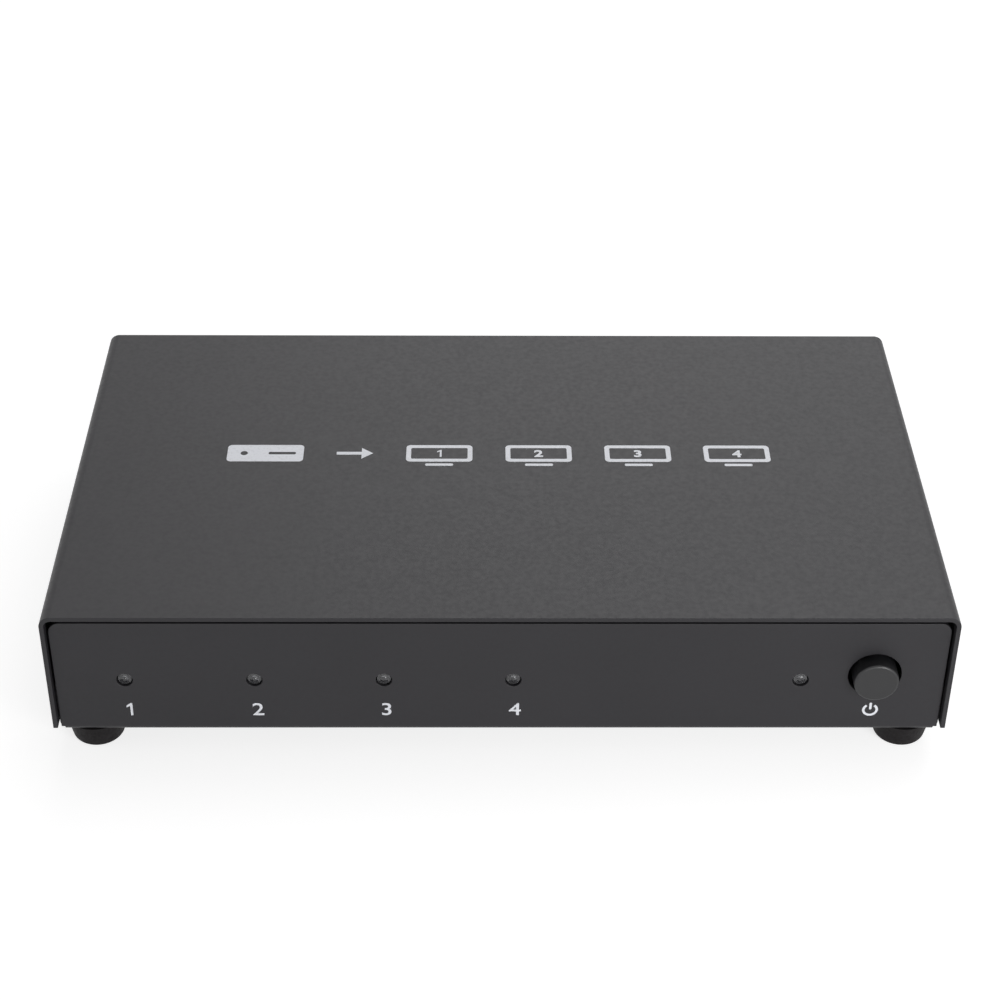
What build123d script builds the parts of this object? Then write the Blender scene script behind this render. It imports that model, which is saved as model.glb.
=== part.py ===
from build123d import *
import os

os.makedirs("parts", exist_ok=True)

# A four-way video splitter in a folded steel case, in millimetres.
# +Z is up, +X is to the right seen from the front, and the front panel faces -Y.
# The origin lies on the surface that the feet stand on, at the middle of the overall box.

# Case, folded from sheet steel: a tray with both end panels, and a cover over it
case_width = 190.0
case_depth = 110.0
case_height = 31.8
sheet = 1.0
edge_rounding = 0.15
cover_bend_radius = 1.5
tray_bend_radius = 0.5
cover_overhang = 1.2
cover_side_gap = 0.5
cover_top_gap = 1.4
cover_floor_rise = 1.7
panel_corner_radius = 2.5
relief_width = 0.8
relief_height = 1.2
lip_height = 12.0
lip_side_gap = 0.1
lip_end_gap = 0.2

# One overrun for every cut
overrun = 1.0

# Rubber feet
foot_height = 5.9
foot_top_radius = 6.6
foot_bottom_radius = 5.4
foot_edge_radius = 1.2
foot_inset = 8.0
foot_web = 2.5
foot_recess_radius = 3.3

# Screws and what they screw into
screw_radius = 1.5
hole_clearance = 0.1
thread_clearance = 0.05
pan_head_radius = 2.8
pan_head_height = 2.0
pan_head_rounding = 0.8
sunk_head_radius = 2.5
sunk_head_height = 1.0
sunk_head_angle = 90
cross_width = 0.6
cross_length = 3.0
pan_cross_depth = 1.1
sunk_cross_depth = 0.6
collar_radius = 2.4
collar_height = 1.5
foot_screw_tip = 1.0
cover_screw_length = 6.0
cover_screw_pitch = 60.0
cover_screw_height = 6.5
board_screw_length = 5.0

# Circuit board on its standoffs
standoff_height = 8.5
standoff_across_flats = 5.0
standoff_pilot_radius = 2.0
board_thickness = 1.6
board_end_gap = 1.0
board_side_gap = 2.4
board_corner_radius = 1.0
board_mount_inset_x = 6.6
board_mount_inset_y = 26.8
board_hole_clearance = 0.15
tail_below_board = 1.0

# Places along the front and the rear, from the middle, as shares of the case's width
output_count = 4
first_output_share = -0.41526
output_pitch_share = 0.14316
input_share = 0.18947
jack_share = 0.36842
button_share = 0.41421
power_led_share = 0.33263

# Video socket, wide side up: a metal shell round a plastic tongue with its contacts
socket_width = 14.0
socket_height = 4.55
socket_side_height = 2.6
socket_foot_width = 10.6
socket_corner_radius = 0.5
socket_wall = 0.35
socket_depth = 11.5
socket_reach = 0.6
socket_cutout_gap = 0.3
socket_leg_length = 1.6
socket_leg_inset = 1.8
socket_leg_root = 0.6
insert_clearance = 0.05
tongue_width = 11.0
tongue_thickness = 1.1
tongue_recess = 1.7
tongue_block_length = 3.2
upper_contact_count = 10
contact_pitch = 1.0
contact_width = 0.3
contact_thickness = 0.15
contact_sink = 0.1
contact_tip_inset = 0.5
contact_tail_gap = 0.4
contact_foot_length = 0.9

# Power inlet jack
jack_width = 9.0
jack_height = 11.0
jack_axis_height = 6.5
jack_length = 14.2
jack_flange_length = 3.4
jack_reach = 0.4
jack_cutout_gap = 0.3
jack_bore_radius = 3.15
jack_bore_depth = 9.5
jack_mouth_chamfer = 0.4
jack_pin_radius = 1.0
jack_pin_recess = 1.0
jack_pin_rounding = 0.4
jack_root_radius = 1.3
jack_blade_width = 2.4
jack_blade_thickness = 0.4
leaf_width = 2.4
leaf_thickness = 0.3
leaf_rise = 0.4
leaf_start = 2.6
leaf_end = 11.2
leaf_side_gap = 0.15

# Power button and the latching switch behind it
button_radius = 4.75
button_length = 11.0
button_reach = 2.9
button_rounding = 0.6
button_wall = 1.0
button_boss_radius = 3.0
button_hole_gap = 0.85
button_axis_height = 4.5
button_travel = 2.5
button_back_gap = 0.7
socket_fit_clearance = 0.03
stem_width = 3.0
stem_depth = 6.5
stem_end_gap = 0.5
slider_width = 4.4
slider_length = 5.0
slider_clearance = 0.1
slider_stop_gap = 0.05
switch_width = 8.5
switch_wall = 1.2
switch_rounding = 0.3
switch_pin_width = 0.8
switch_pin_thickness = 0.4
switch_pin_pitch = 3.0
switch_pin_rows = 5.0
switch_pin_root = 1.2
spring_space = 4.6
spring_end_gap = 0.1
spring_wire_radius = 0.2
spring_coil_radius = 1.6
spring_turns = 4
latch_wire_radius = 0.3
latch_span = 5.0
latch_rise = 0.8
latch_depth = 1.2
latch_bend_radius = 0.5

# Indicator lamps, 3 mm size, with their leads bent down to the board
led_radius = 1.45
led_hole_gap = 0.25
led_reach = 0.9
led_length = 5.4
led_flange_radius = 1.9
led_flange_length = 1.0
led_axis_height = 3.0
led_lead_width = 0.5
led_lead_pitch = 2.54
led_lead_run = 1.6

# Splitter chip with its heat sink; here and below, places are shares of the board's width and depth
chip_width = 14.0
chip_height = 1.0
chip_place_shares = (-0.138, -0.066)
pad_thickness = 0.5
heat_sink_width = 28.0
heat_sink_height = 8.0
heat_sink_base = 2.0
heat_sink_fin = 1.2
heat_sink_fin_count = 8

# Port driver chips, one in front of each output socket
driver_width = 6.0
driver_height = 0.9
driver_gap = 7.75
chip_edge_chamfer = 0.15
pin_one_radius = 0.4
pin_one_depth = 0.1
pin_one_inset = 1.0

# Memory chip with its eight leads
memory_width = 4.0
memory_length = 5.0
memory_height = 1.5
memory_place_shares = (0.077, -0.143)
memory_lead_pitch = 1.27
memory_lead_width = 0.4
memory_lead_thickness = 0.2
memory_lead_reach = 1.0
memory_lead_count = 4
lead_root_height = 0.7

# Power supply on the board
regulator_width = 6.5
regulator_length = 6.1
regulator_height = 2.3
regulator_place_shares = (0.32, 0.204)
regulator_tab_thickness = 0.5
regulator_tab_reach = 1.1
regulator_lead_width = 0.8
regulator_lead_reach = 2.6
regulator_lead_pitch = 4.6
inductor_width = 7.4
inductor_height = 4.0
inductor_rounding = 1.2
inductor_core_radius = 2.6
inductor_groove = 0.3
inductor_place_shares = (0.254, 0.127)
capacitor_count = 2
capacitor_radius = 4.0
capacitor_height = 10.2
capacitor_base_width = 8.4
capacitor_base_height = 1.5
capacitor_rounding = 0.8
capacitor_pitch = 14.0
capacitor_place_shares = (0.386, 0.069)
crystal_length = 11.4
crystal_width = 4.6
crystal_height = 3.5
crystal_rounding = 0.6
crystal_place_shares = (-0.287, -0.124)

# Small passive parts, in double lines
small_length = 1.6
small_width = 0.8
small_height = 0.6
small_line_count = 2
small_line_pitch = 3.0
small_capacitor_count = 8
small_capacitor_pitch = 3.4
small_capacitor_y_share = -0.298
small_resistor_count = 4
small_resistor_pitch = 2.0
small_resistor_gap = 4.0

# Planes and edges of the case, worked out from the sizes above
button_ahead = button_reach - cover_overhang
rear_edge_y = (case_depth + button_ahead) / 2
front_edge_y = rear_edge_y - case_depth
front_panel_y = front_edge_y + cover_overhang
rear_panel_y = rear_edge_y - cover_overhang
tray_middle_y = (front_panel_y + rear_panel_y) / 2
tray_width = case_width - 2 * (sheet + cover_side_gap)
tray_bottom_z = foot_height
floor_z = tray_bottom_z + sheet
cover_top_z = tray_bottom_z + case_height
roof_z = cover_top_z - sheet
panel_top_z = roof_z - cover_top_gap
cover_bottom_z = tray_bottom_z + cover_floor_rise
lip_face_x = case_width / 2 - 2 * sheet - lip_side_gap
lip_root_x = lip_face_x - tray_bend_radius - sheet
lip_rear_y = rear_panel_y - sheet - lip_end_gap
lip_front_y = front_panel_y + sheet + lip_end_gap
cover_screw_z = tray_bottom_z + cover_screw_height
board_bottom_z = floor_z + standoff_height
board_top_z = board_bottom_z + board_thickness
board_front_y = front_panel_y + sheet + board_end_gap
board_rear_y = rear_panel_y - sheet - board_end_gap
board_width = 2 * (lip_face_x - board_side_gap)
board_depth = board_rear_y - board_front_y
tail_end_z = board_bottom_z - tail_below_board
led_z = board_top_z + led_axis_height
button_z = board_top_z + button_axis_height
output_shares = [first_output_share + port * output_pitch_share for port in range(output_count)]
output_xs = [share * case_width for share in output_shares]
input_x = input_share * case_width
jack_x = jack_share * case_width
button_x = button_share * case_width
power_led_x = power_led_share * case_width
foot_x = case_width / 2 - foot_inset
foot_ys = [front_edge_y + foot_inset, rear_edge_y - foot_inset]
foot_places = [(x, y, 0) for y in foot_ys for x in (-foot_x, foot_x)]
mount_x = board_width / 2 - board_mount_inset_x
mount_ys = [board_front_y + board_mount_inset_y, board_rear_y - board_mount_inset_y]
mount_places = [(x, y) for y in mount_ys for x in (-mount_x, mount_x)]
cover_screw_ys = [tray_middle_y + end * cover_screw_pitch / 2 for end in (-1, 1)]


def across(y):
    """Upright plane square to the depth; extrusions go towards the front."""
    return Plane.XZ.offset(-y)


def block(low, high, mode=Mode.ADD):
    """Box from its lowest to its highest corner."""
    low, high = Vector(*low), Vector(*high)
    size = high - low
    with Locations((low + high) / 2):
        Box(size.X, size.Y, size.Z, mode=mode)


def on_board(x_share, y_share):
    """Place on the board's top, from its middle, as shares of its width and depth."""
    return (x_share * board_width, tray_middle_y + y_share * board_depth, board_top_z)


def folded_strip(points, bend_radius, thickness):
    """Section of a folded strip, thickened to the right of its inner face."""
    with BuildSketch() as strip:
        with BuildLine():
            FilletPolyline(*points, radius=bend_radius)
            offset(amount=thickness, side=Side.RIGHT)
        make_face()
    return strip.sketch


def save(part, name):
    """Label a finished piece and write it."""
    part.label = name
    export_step(part, f"parts/{name}.step")


def placed(shape, name, *places):
    """One node: a shape that repeats at its places."""
    with BuildPart() as node:
        with Locations(*places):
            add(shape)
    save(node.part, name)


# Top cover: a U of sheet, open downwards, with four countersunk holes in its walls
cover_half = case_width / 2 - sheet
cover_line = [
    (cover_half, cover_bottom_z),
    (cover_half, roof_z),
    (-cover_half, roof_z),
    (-cover_half, cover_bottom_z),
]
cover_screw_places = [
    Location((side * case_width / 2, y, cover_screw_z), (0, side * 90, 0))
    for side in (-1, 1)
    for y in cover_screw_ys
]
with BuildPart() as top_cover:
    with BuildSketch(across(rear_edge_y)):
        add(folded_strip(cover_line, cover_bend_radius, sheet))
    extrude(amount=case_depth)
    cut_faces = top_cover.faces().filter_by(Axis.Y) + top_cover.faces().sort_by(Axis.Z)[:2]
    fillet(cut_faces.edges(), edge_rounding)
    with Locations(*cover_screw_places):
        CounterSinkHole(
            screw_radius + hole_clearance,
            sunk_head_radius + hole_clearance,
            depth=sheet + overrun,
            counter_sink_angle=sunk_head_angle,
        )
save(top_cover.part, "top_cover")


def socket_outline(grow=0):
    """Keystone outline of a socket's inside, grown evenly."""
    half = socket_width / 2
    foot = socket_foot_width / 2
    top = socket_height / 2
    shoulder = top - socket_side_height
    with BuildSketch() as outline:
        with BuildLine():
            Polyline((0, top), (half, top), (half, shoulder), (foot, -top), (0, -top))
            mirror(about=Plane.YZ)
        make_face()
        fillet(outline.vertices(), socket_corner_radius)
        if grow:
            offset(amount=grow)
    return outline.sketch


# Video sockets stand on the board, with their mouths just outside the rear panel
socket_mouth_y = rear_panel_y + socket_reach
socket_z = board_top_z + socket_height / 2 + socket_wall
socket_names = [f"output_socket_{port + 1}" for port in range(output_count)] + ["input_socket"]
socket_places = {
    name: (x, socket_mouth_y, socket_z) for name, x in zip(socket_names, [*output_xs, input_x])
}
leg_side = (socket_width + socket_wall) / 2
leg_middle = socket_leg_inset + socket_leg_length / 2
leg_ys = [-leg_middle, leg_middle - socket_depth]
leg_spots = [(x, y) for x in (-leg_side, leg_side) for y in leg_ys]

# Jack: its mouth stands just outside the rear panel, and its underside on the board
jack_mouth_y = rear_panel_y + jack_reach
jack_place = (jack_x, jack_mouth_y, board_top_z)
jack_blade_y = -jack_length - jack_blade_thickness / 2
leaf_tail_y = -leaf_end - leaf_thickness / 2

# Switch: the plunger's stem reaches into the button, and its slider stops on the front wall
button_front_y = front_panel_y - button_reach
button_back_y = button_front_y + button_length
switch_front_y = button_back_y + button_travel + button_back_gap
slider_front_y = switch_front_y + switch_wall + slider_stop_gap
slider_back_y = slider_front_y + slider_length
switch_cavity_y = slider_back_y + spring_space
switch_back_y = switch_cavity_y + switch_wall
switch_middle_y = (switch_front_y + switch_back_y) / 2
pin_grid = GridLocations(switch_pin_rows, switch_pin_pitch, 2, 3).local_locations
pin_places = [(button_x + spot.position.X, switch_middle_y + spot.position.Y) for spot in pin_grid]

# Lamps: one over each port number, and one beside the button
led_xs = [*output_xs, power_led_x]
led_tip_y = front_panel_y - led_reach
led_back_y = led_tip_y + led_length
led_lead_y = led_back_y + led_lead_run
lead_places = [(x + side * led_lead_pitch / 2, led_lead_y) for x in led_xs for side in (-1, 1)]

# Base tray: floor, front panel and rear panel folded from one strip, with a lip on each side
tray_line = [
    (front_panel_y + sheet, panel_top_z),
    (front_panel_y + sheet, floor_z),
    (rear_panel_y - sheet, floor_z),
    (rear_panel_y - sheet, panel_top_z),
]
lip_line = [(lip_root_x, floor_z), (lip_face_x, floor_z), (lip_face_x, tray_bottom_z + lip_height)]
with BuildPart() as base_tray:
    with BuildSketch(Plane.YZ.offset(-tray_width / 2)):
        add(folded_strip(tray_line, tray_bend_radius, sheet))
    extrude(amount=tray_width)
    panel_corners = base_tray.edges().filter_by(Axis.Y).group_by(Axis.Z)[-1]
    fillet(panel_corners, panel_corner_radius)
    panel_rims = base_tray.faces().filter_by(Axis.Y).edges().group_by(Axis.Z)[1:]
    fillet([edge for group in panel_rims for edge in group], edge_rounding)
    for side in (-1, 1):
        inner, outer = sorted((side * (tray_width / 2 - relief_width), side * (tray_width / 2 + overrun)))
        block(
            (inner, front_panel_y - overrun, tray_bottom_z - overrun),
            (outer, rear_panel_y + overrun, tray_bottom_z + relief_height),
            mode=Mode.SUBTRACT,
        )
        inner, outer = sorted((side * lip_root_x, side * (tray_width / 2 + overrun)))
        block(
            (inner, lip_front_y - lip_end_gap, tray_bottom_z - overrun),
            (outer, lip_rear_y + lip_end_gap, floor_z + tray_bend_radius),
            mode=Mode.SUBTRACT,
        )
    with BuildSketch(across(lip_rear_y)):
        add(folded_strip(lip_line, tray_bend_radius, sheet))
        mirror(about=Plane.YZ)
    extrude(amount=lip_rear_y - lip_front_y)
    with Locations(*[(x, y, floor_z) for x, y, _ in foot_places]):
        Cylinder(collar_radius, collar_height, align=(Align.CENTER, Align.CENTER, Align.MIN))
    for side in (-1, 1):
        places = [(side * lip_face_x, y, cover_screw_z) for y in cover_screw_ys]
        with Locations(*[Location(place, (0, -side * 90, 0)) for place in places]):
            Cylinder(collar_radius, collar_height, align=(Align.CENTER, Align.CENTER, Align.MIN))
    with Locations(*[(x, y, floor_z + collar_height) for x, y, _ in foot_places]):
        Hole(screw_radius + thread_clearance, depth=collar_height + sheet + overrun)
    with Locations(*cover_screw_places):
        Hole(screw_radius + thread_clearance, depth=cover_screw_length)
    with Locations(*[(x, y, floor_z) for x, y in mount_places]):
        Hole(standoff_pilot_radius + insert_clearance, depth=sheet + overrun)
    with BuildSketch(across(front_panel_y)):
        with Locations(*[(x, led_z) for x in led_xs]):
            Circle(led_radius + led_hole_gap)
        with Locations((button_x, button_z)):
            Circle(button_radius + button_hole_gap)
    extrude(amount=sheet + overrun, both=True, mode=Mode.SUBTRACT)
    front_rims = base_tray.edges().filter_by(GeomType.CIRCLE).filter_by_position(
        Axis.Y, front_panel_y, front_panel_y
    )
    fillet(front_rims, edge_rounding)
    with BuildSketch(across(rear_panel_y)):
        with Locations(*[(x, z) for x, _, z in socket_places.values()]):
            add(socket_outline(socket_wall + socket_cutout_gap))
        with Locations((jack_x, board_top_z + jack_height / 2)):
            Rectangle(jack_width + 2 * jack_cutout_gap, jack_height + 2 * jack_cutout_gap)
    extrude(amount=sheet + overrun, both=True, mode=Mode.SUBTRACT)
save(base_tray.part, "base_tray")


def cross():
    """Outline of a screw's cross recess."""
    with BuildSketch() as outline:
        Rectangle(cross_length, cross_width)
        Rectangle(cross_width, cross_length)
    return outline.sketch


def pan_screw(length):
    """Screw with a pan head; its head's top is at zero height and its tip points down."""
    with BuildPart() as screw:
        Cylinder(pan_head_radius, pan_head_height, align=(Align.CENTER, Align.CENTER, Align.MAX))
        fillet(screw.edges().sort_by(Axis.Z)[-1], pan_head_rounding)
        Cylinder(screw_radius, pan_head_height + length, align=(Align.CENTER, Align.CENTER, Align.MAX))
        extrude(cross(), amount=-pan_cross_depth, mode=Mode.SUBTRACT)
    return screw.part


# Cover screws: thin countersunk heads, flush with the cover's walls
with BuildPart() as sunk_screw:
    Cone(
        screw_radius,
        sunk_head_radius,
        sunk_head_height,
        align=(Align.CENTER, Align.CENTER, Align.MAX),
    )
    Cylinder(screw_radius, cover_screw_length, align=(Align.CENTER, Align.CENTER, Align.MAX))
    extrude(cross(), amount=-sunk_cross_depth, mode=Mode.SUBTRACT)
placed(sunk_screw.part, "cover_screws", *cover_screw_places)

# Rubber foot: a tapered disc with a recess under it for the screw's head
with BuildPart() as foot:
    Cone(
        foot_bottom_radius,
        foot_top_radius,
        foot_height,
        align=(Align.CENTER, Align.CENTER, Align.MIN),
    )
    fillet(foot.edges().sort_by(Axis.Z)[0], foot_edge_radius)
    with Locations(Location((0, 0, 0), (180, 0, 0))):
        CounterBoreHole(screw_radius + hole_clearance, foot_recess_radius, foot_height - foot_web)
foot_names = ["foot_front_left", "foot_front_right", "foot_rear_left", "foot_rear_right"]
for name, place in zip(foot_names, foot_places):
    placed(foot.part, name, place)

foot_screw = pan_screw(foot_web + sheet + collar_height + foot_screw_tip)
foot_head_z = foot_height - foot_web - pan_head_height
placed(foot_screw, "foot_screws", *[Location((x, y, foot_head_z), (180, 0, 0)) for x, y, _ in foot_places])

# Hexagonal standoffs, pressed into the floor, and the screws that hold the board on them
with BuildPart() as standoff:
    with BuildSketch():
        RegularPolygon(standoff_across_flats / 2, 6, major_radius=False)
    extrude(amount=standoff_height)
    Cylinder(standoff_pilot_radius, sheet, align=(Align.CENTER, Align.CENTER, Align.MAX))
    with Locations((0, 0, standoff_height)):
        Hole(screw_radius + thread_clearance, depth=standoff_height + sheet)
placed(standoff.part, "board_standoffs", *[(x, y, floor_z) for x, y in mount_places])

board_screw = pan_screw(board_screw_length)
board_head_z = board_top_z + pan_head_height
placed(board_screw, "board_screws", *[(x, y, board_head_z) for x, y in mount_places])

# Circuit board, with a notch under the button and a hole for every screw, leg and lead
notch_half = button_radius + button_hole_gap
with BuildPart() as main_board:
    block(
        (-board_width / 2, board_front_y, board_bottom_z),
        (board_width / 2, board_rear_y, board_top_z),
    )
    fillet(main_board.edges().filter_by(Axis.Z), board_corner_radius)
    block(
        (button_x - notch_half, board_front_y - overrun, board_bottom_z - overrun),
        (button_x + notch_half, switch_front_y, board_top_z + overrun),
        mode=Mode.SUBTRACT,
    )
    with Locations(*[(x, y, board_top_z) for x, y in mount_places]):
        Hole(screw_radius + hole_clearance, depth=board_thickness + overrun)
    with BuildSketch(Plane.XY.offset(board_top_z)):
        slot = 2 * board_hole_clearance
        for x, y, _ in socket_places.values():
            with Locations(*[(x + leg_x, y + leg_y) for leg_x, leg_y in leg_spots]):
                Rectangle(socket_wall + slot, socket_leg_length + slot)
        with Locations(*lead_places):
            Circle(led_lead_width)
        with Locations(*pin_places):
            Rectangle(switch_pin_width + slot, switch_pin_thickness + slot)
        with Locations((jack_x, jack_mouth_y + jack_blade_y)):
            Rectangle(jack_blade_width + slot, jack_blade_thickness + slot)
        with Locations((jack_x, jack_mouth_y + leaf_tail_y)):
            Rectangle(leaf_width + slot, leaf_thickness + slot)
    extrude(amount=board_thickness + overrun, both=True, mode=Mode.SUBTRACT)
save(main_board.part, "main_board")

# Socket shell, mouth at zero depth, with four legs through the board
shell_bottom = -socket_height / 2 - socket_wall
leg_top = socket_height / 2 - socket_side_height + socket_leg_root
leg_bottom = shell_bottom - board_thickness - tail_below_board
with BuildPart() as socket_shell:
    with BuildSketch(Plane.XZ):
        add(socket_outline(socket_wall))
        add(socket_outline(), mode=Mode.SUBTRACT)
    extrude(amount=socket_depth)
    for x, y in leg_spots:
        block(
            (x - socket_wall / 2, y - socket_leg_length / 2, leg_bottom),
            (x + socket_wall / 2, y + socket_leg_length / 2, leg_top),
        )

# Socket contacts: an upper and a lower row, brought down behind the tongue's block to the board
upper_xs = [(i - (upper_contact_count - 1) / 2) * contact_pitch for i in range(upper_contact_count)]
lower_xs = [x + contact_pitch / 2 for x in upper_xs[:-1]]
upper_low = tongue_thickness / 2 - contact_sink
contact_tip = -tongue_recess - contact_tip_inset
tail_back = -socket_depth - contact_tail_gap - contact_thickness
with BuildPart() as socket_contacts:
    for xs, low in ((upper_xs, upper_low), (lower_xs, -upper_low - contact_thickness)):
        with BuildSketch(*[Plane.YZ.offset(x) for x in xs]):
            with Locations((contact_tip, low)):
                Rectangle(contact_tip - tail_back, contact_thickness, align=(Align.MAX, Align.MIN))
            with Locations((tail_back, shell_bottom)):
                Rectangle(contact_thickness, low - shell_bottom + contact_thickness, align=Align.MIN)
                Rectangle(contact_foot_length, contact_thickness, align=(Align.MAX, Align.MIN))
        extrude(amount=contact_width / 2, both=True)

# Socket tongue: a thin plate on a block that fills the back of the shell, moulded round the contacts
with BuildPart() as socket_tongue:
    with BuildSketch(across(-socket_depth + tongue_block_length)):
        add(socket_outline(-insert_clearance))
    extrude(amount=tongue_block_length)
    block(
        (-tongue_width / 2, -socket_depth, -tongue_thickness / 2),
        (tongue_width / 2, -tongue_recess, tongue_thickness / 2),
    )
    add(socket_contacts.part, mode=Mode.SUBTRACT)

for name, place in socket_places.items():
    placed(socket_shell.part, f"{name}_shell", place)
    placed(socket_tongue.part, f"{name}_tongue", place)
    placed(socket_contacts.part, f"{name}_contacts", place)

# Jack body: arched behind a square flange, bored from the mouth, slotted below for its spring
with BuildPart() as jack_body:
    with BuildSketch(Plane.XZ):
        Rectangle(jack_width, jack_axis_height, align=(Align.CENTER, Align.MIN))
        with Locations((0, jack_axis_height)):
            Circle(jack_width / 2)
    extrude(amount=jack_length)
    with BuildSketch(Plane.XZ):
        Rectangle(jack_width, jack_height, align=(Align.CENTER, Align.MIN))
    extrude(amount=jack_flange_length)
    with BuildSketch(Plane.XZ):
        with Locations((0, jack_axis_height)):
            Circle(jack_bore_radius)
    extrude(amount=jack_bore_depth, mode=Mode.SUBTRACT)
    mouth = jack_body.edges().filter_by(GeomType.CIRCLE).sort_by(Axis.Y)[-1]
    chamfer(mouth, jack_mouth_chamfer)
    with BuildSketch(Plane.XZ):
        with Locations((0, jack_axis_height)):
            Circle(jack_root_radius + insert_clearance)
    extrude(amount=jack_length + overrun, mode=Mode.SUBTRACT)
    slot_half = leaf_width / 2 + leaf_side_gap
    block(
        (-slot_half, -leaf_end - leaf_thickness - leaf_side_gap, -overrun),
        (slot_half, -leaf_start + leaf_side_gap, jack_axis_height - jack_bore_radius + leaf_rise),
        mode=Mode.SUBTRACT,
    )
placed(jack_body.part, "dc_jack_body", jack_place)

# Jack pin: centre contact on a thicker root, with a blade down the body's back
jack_tail_z = -board_thickness - tail_below_board
with BuildPart() as jack_pin:
    with BuildSketch(across(-jack_pin_recess)):
        with Locations((0, jack_axis_height)):
            Circle(jack_pin_radius)
    extrude(amount=jack_length - jack_pin_recess)
    fillet(jack_pin.edges().sort_by(Axis.Y)[-1], jack_pin_rounding)
    with BuildSketch(across(-jack_bore_depth)):
        with Locations((0, jack_axis_height)):
            Circle(jack_root_radius)
    extrude(amount=jack_length - jack_bore_depth)
    block(
        (-jack_blade_width / 2, -jack_length - jack_blade_thickness, jack_tail_z),
        (jack_blade_width / 2, -jack_length, jack_axis_height + jack_blade_width / 2),
    )
placed(jack_pin.part, "dc_jack_pin", jack_place)

# Jack spring: a leaf under the bore, bowed up into it, with its tail down through the board
leaf_low = jack_axis_height - jack_bore_radius - leaf_thickness
leaf_middle = (leaf_start + leaf_end) / 2
leaf_line = [
    (-leaf_end, jack_tail_z),
    (-leaf_end, leaf_low),
    (-leaf_middle, leaf_low + leaf_thickness + leaf_rise),
    (-leaf_start, leaf_low),
]
with BuildPart() as jack_leaf:
    with BuildSketch(Plane.YZ):
        with BuildLine():
            Polyline(*leaf_line)
            offset(amount=leaf_thickness, side=Side.LEFT)
        make_face()
    extrude(amount=leaf_width / 2, both=True)
placed(jack_leaf.part, "dc_jack_spring", jack_place)

# Switch pins: six flat pins from inside the switch down through the board
with BuildPart() as switch_pins:
    for x, y in pin_places:
        block(
            (x - switch_pin_width / 2, y - switch_pin_thickness / 2, tail_end_z),
            (x + switch_pin_width / 2, y + switch_pin_thickness / 2, board_top_z + switch_pin_root),
        )
save(switch_pins.part, "power_switch_pins")

# Switch latch pin: a bent wire on the switch's top, hooked into two holes
switch_top_z = board_top_z + 2 * button_axis_height
latch_ends = [switch_middle_y + end * latch_span / 2 for end in (-1, 1)]
latch_line = [
    (button_x, latch_ends[0], switch_top_z - latch_depth),
    (button_x, latch_ends[0], switch_top_z + latch_rise),
    (button_x, latch_ends[1], switch_top_z + latch_rise),
    (button_x, latch_ends[1], switch_top_z - latch_depth),
]
with BuildPart() as latch_pin:
    with BuildLine():
        FilletPolyline(*latch_line, radius=latch_bend_radius)
    with BuildSketch(Plane.XY.offset(switch_top_z - latch_depth)):
        with Locations((button_x, latch_ends[0])):
            Circle(latch_wire_radius)
    sweep()
save(latch_pin.part, "power_switch_latch_pin")

# Switch body: a square tunnel for the slider, with a smaller way out at the front for the stem
tunnel_half = slider_width / 2 + slider_clearance
way_half = stem_width / 2 + slider_clearance
with BuildPart() as switch_body:
    block(
        (button_x - switch_width / 2, switch_front_y, board_top_z),
        (button_x + switch_width / 2, switch_back_y, switch_top_z),
    )
    fillet(switch_body.edges().filter_by(Axis.Y), switch_rounding)
    block(
        (button_x - tunnel_half, switch_front_y + switch_wall, button_z - tunnel_half),
        (button_x + tunnel_half, switch_cavity_y, button_z + tunnel_half),
        mode=Mode.SUBTRACT,
    )
    block(
        (button_x - way_half, switch_front_y - overrun, button_z - way_half),
        (button_x + way_half, switch_front_y + switch_wall + overrun, button_z + way_half),
        mode=Mode.SUBTRACT,
    )
    with Locations(*[(button_x, y, switch_top_z) for y in latch_ends]):
        Hole(latch_wire_radius + insert_clearance, depth=latch_depth + insert_clearance)
    add(switch_pins.part, mode=Mode.SUBTRACT)
save(switch_body.part, "power_switch_body")

# Switch plunger: the slider in the tunnel and the stem that carries the button
slider_half = slider_width / 2
stem_half = stem_width / 2
with BuildPart() as plunger:
    block(
        (button_x - slider_half, slider_front_y, button_z - slider_half),
        (button_x + slider_half, slider_back_y, button_z + slider_half),
    )
    block(
        (button_x - stem_half, button_back_y - stem_depth, button_z - stem_half),
        (button_x + stem_half, slider_front_y, button_z + stem_half),
    )
save(plunger.part, "power_switch_plunger")

# Switch spring: one round wire wound behind the slider, drawn at rest
spring_length = spring_space - 2 * (spring_end_gap + spring_wire_radius)
spring_start_y = slider_back_y + spring_end_gap + spring_wire_radius
with BuildPart() as switch_spring:
    with BuildLine() as coil:
        Helix(
            spring_length / spring_turns,
            spring_length,
            spring_coil_radius,
            center=(button_x, spring_start_y, button_z),
            direction=(0, 1, 0),
        )
    with BuildSketch(Plane(coil.line @ 0, z_dir=coil.line % 0)):
        Circle(spring_wire_radius)
    sweep(path=coil.line, is_frenet=True)
save(switch_spring.part, "power_switch_spring")

# Power button: a round cap, hollow from behind, with a square socket in its boss for the stem
with BuildPart() as power_button:
    with BuildSketch(across(button_back_y)):
        with Locations((button_x, button_z)):
            Circle(button_radius)
    extrude(amount=button_length)
    fillet(power_button.edges().sort_by(Axis.Y)[0], button_rounding)
    with BuildSketch(across(button_back_y)):
        with Locations((button_x, button_z)):
            Circle(button_radius - button_wall)
            Circle(button_boss_radius, mode=Mode.SUBTRACT)
    extrude(amount=button_length - button_wall, mode=Mode.SUBTRACT)
    socket_half = stem_half + socket_fit_clearance
    block(
        (button_x - socket_half, button_back_y - stem_depth - stem_end_gap, button_z - socket_half),
        (button_x + socket_half, button_back_y + overrun, button_z + socket_half),
        mode=Mode.SUBTRACT,
    )
save(power_button.part, "power_button")

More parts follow.
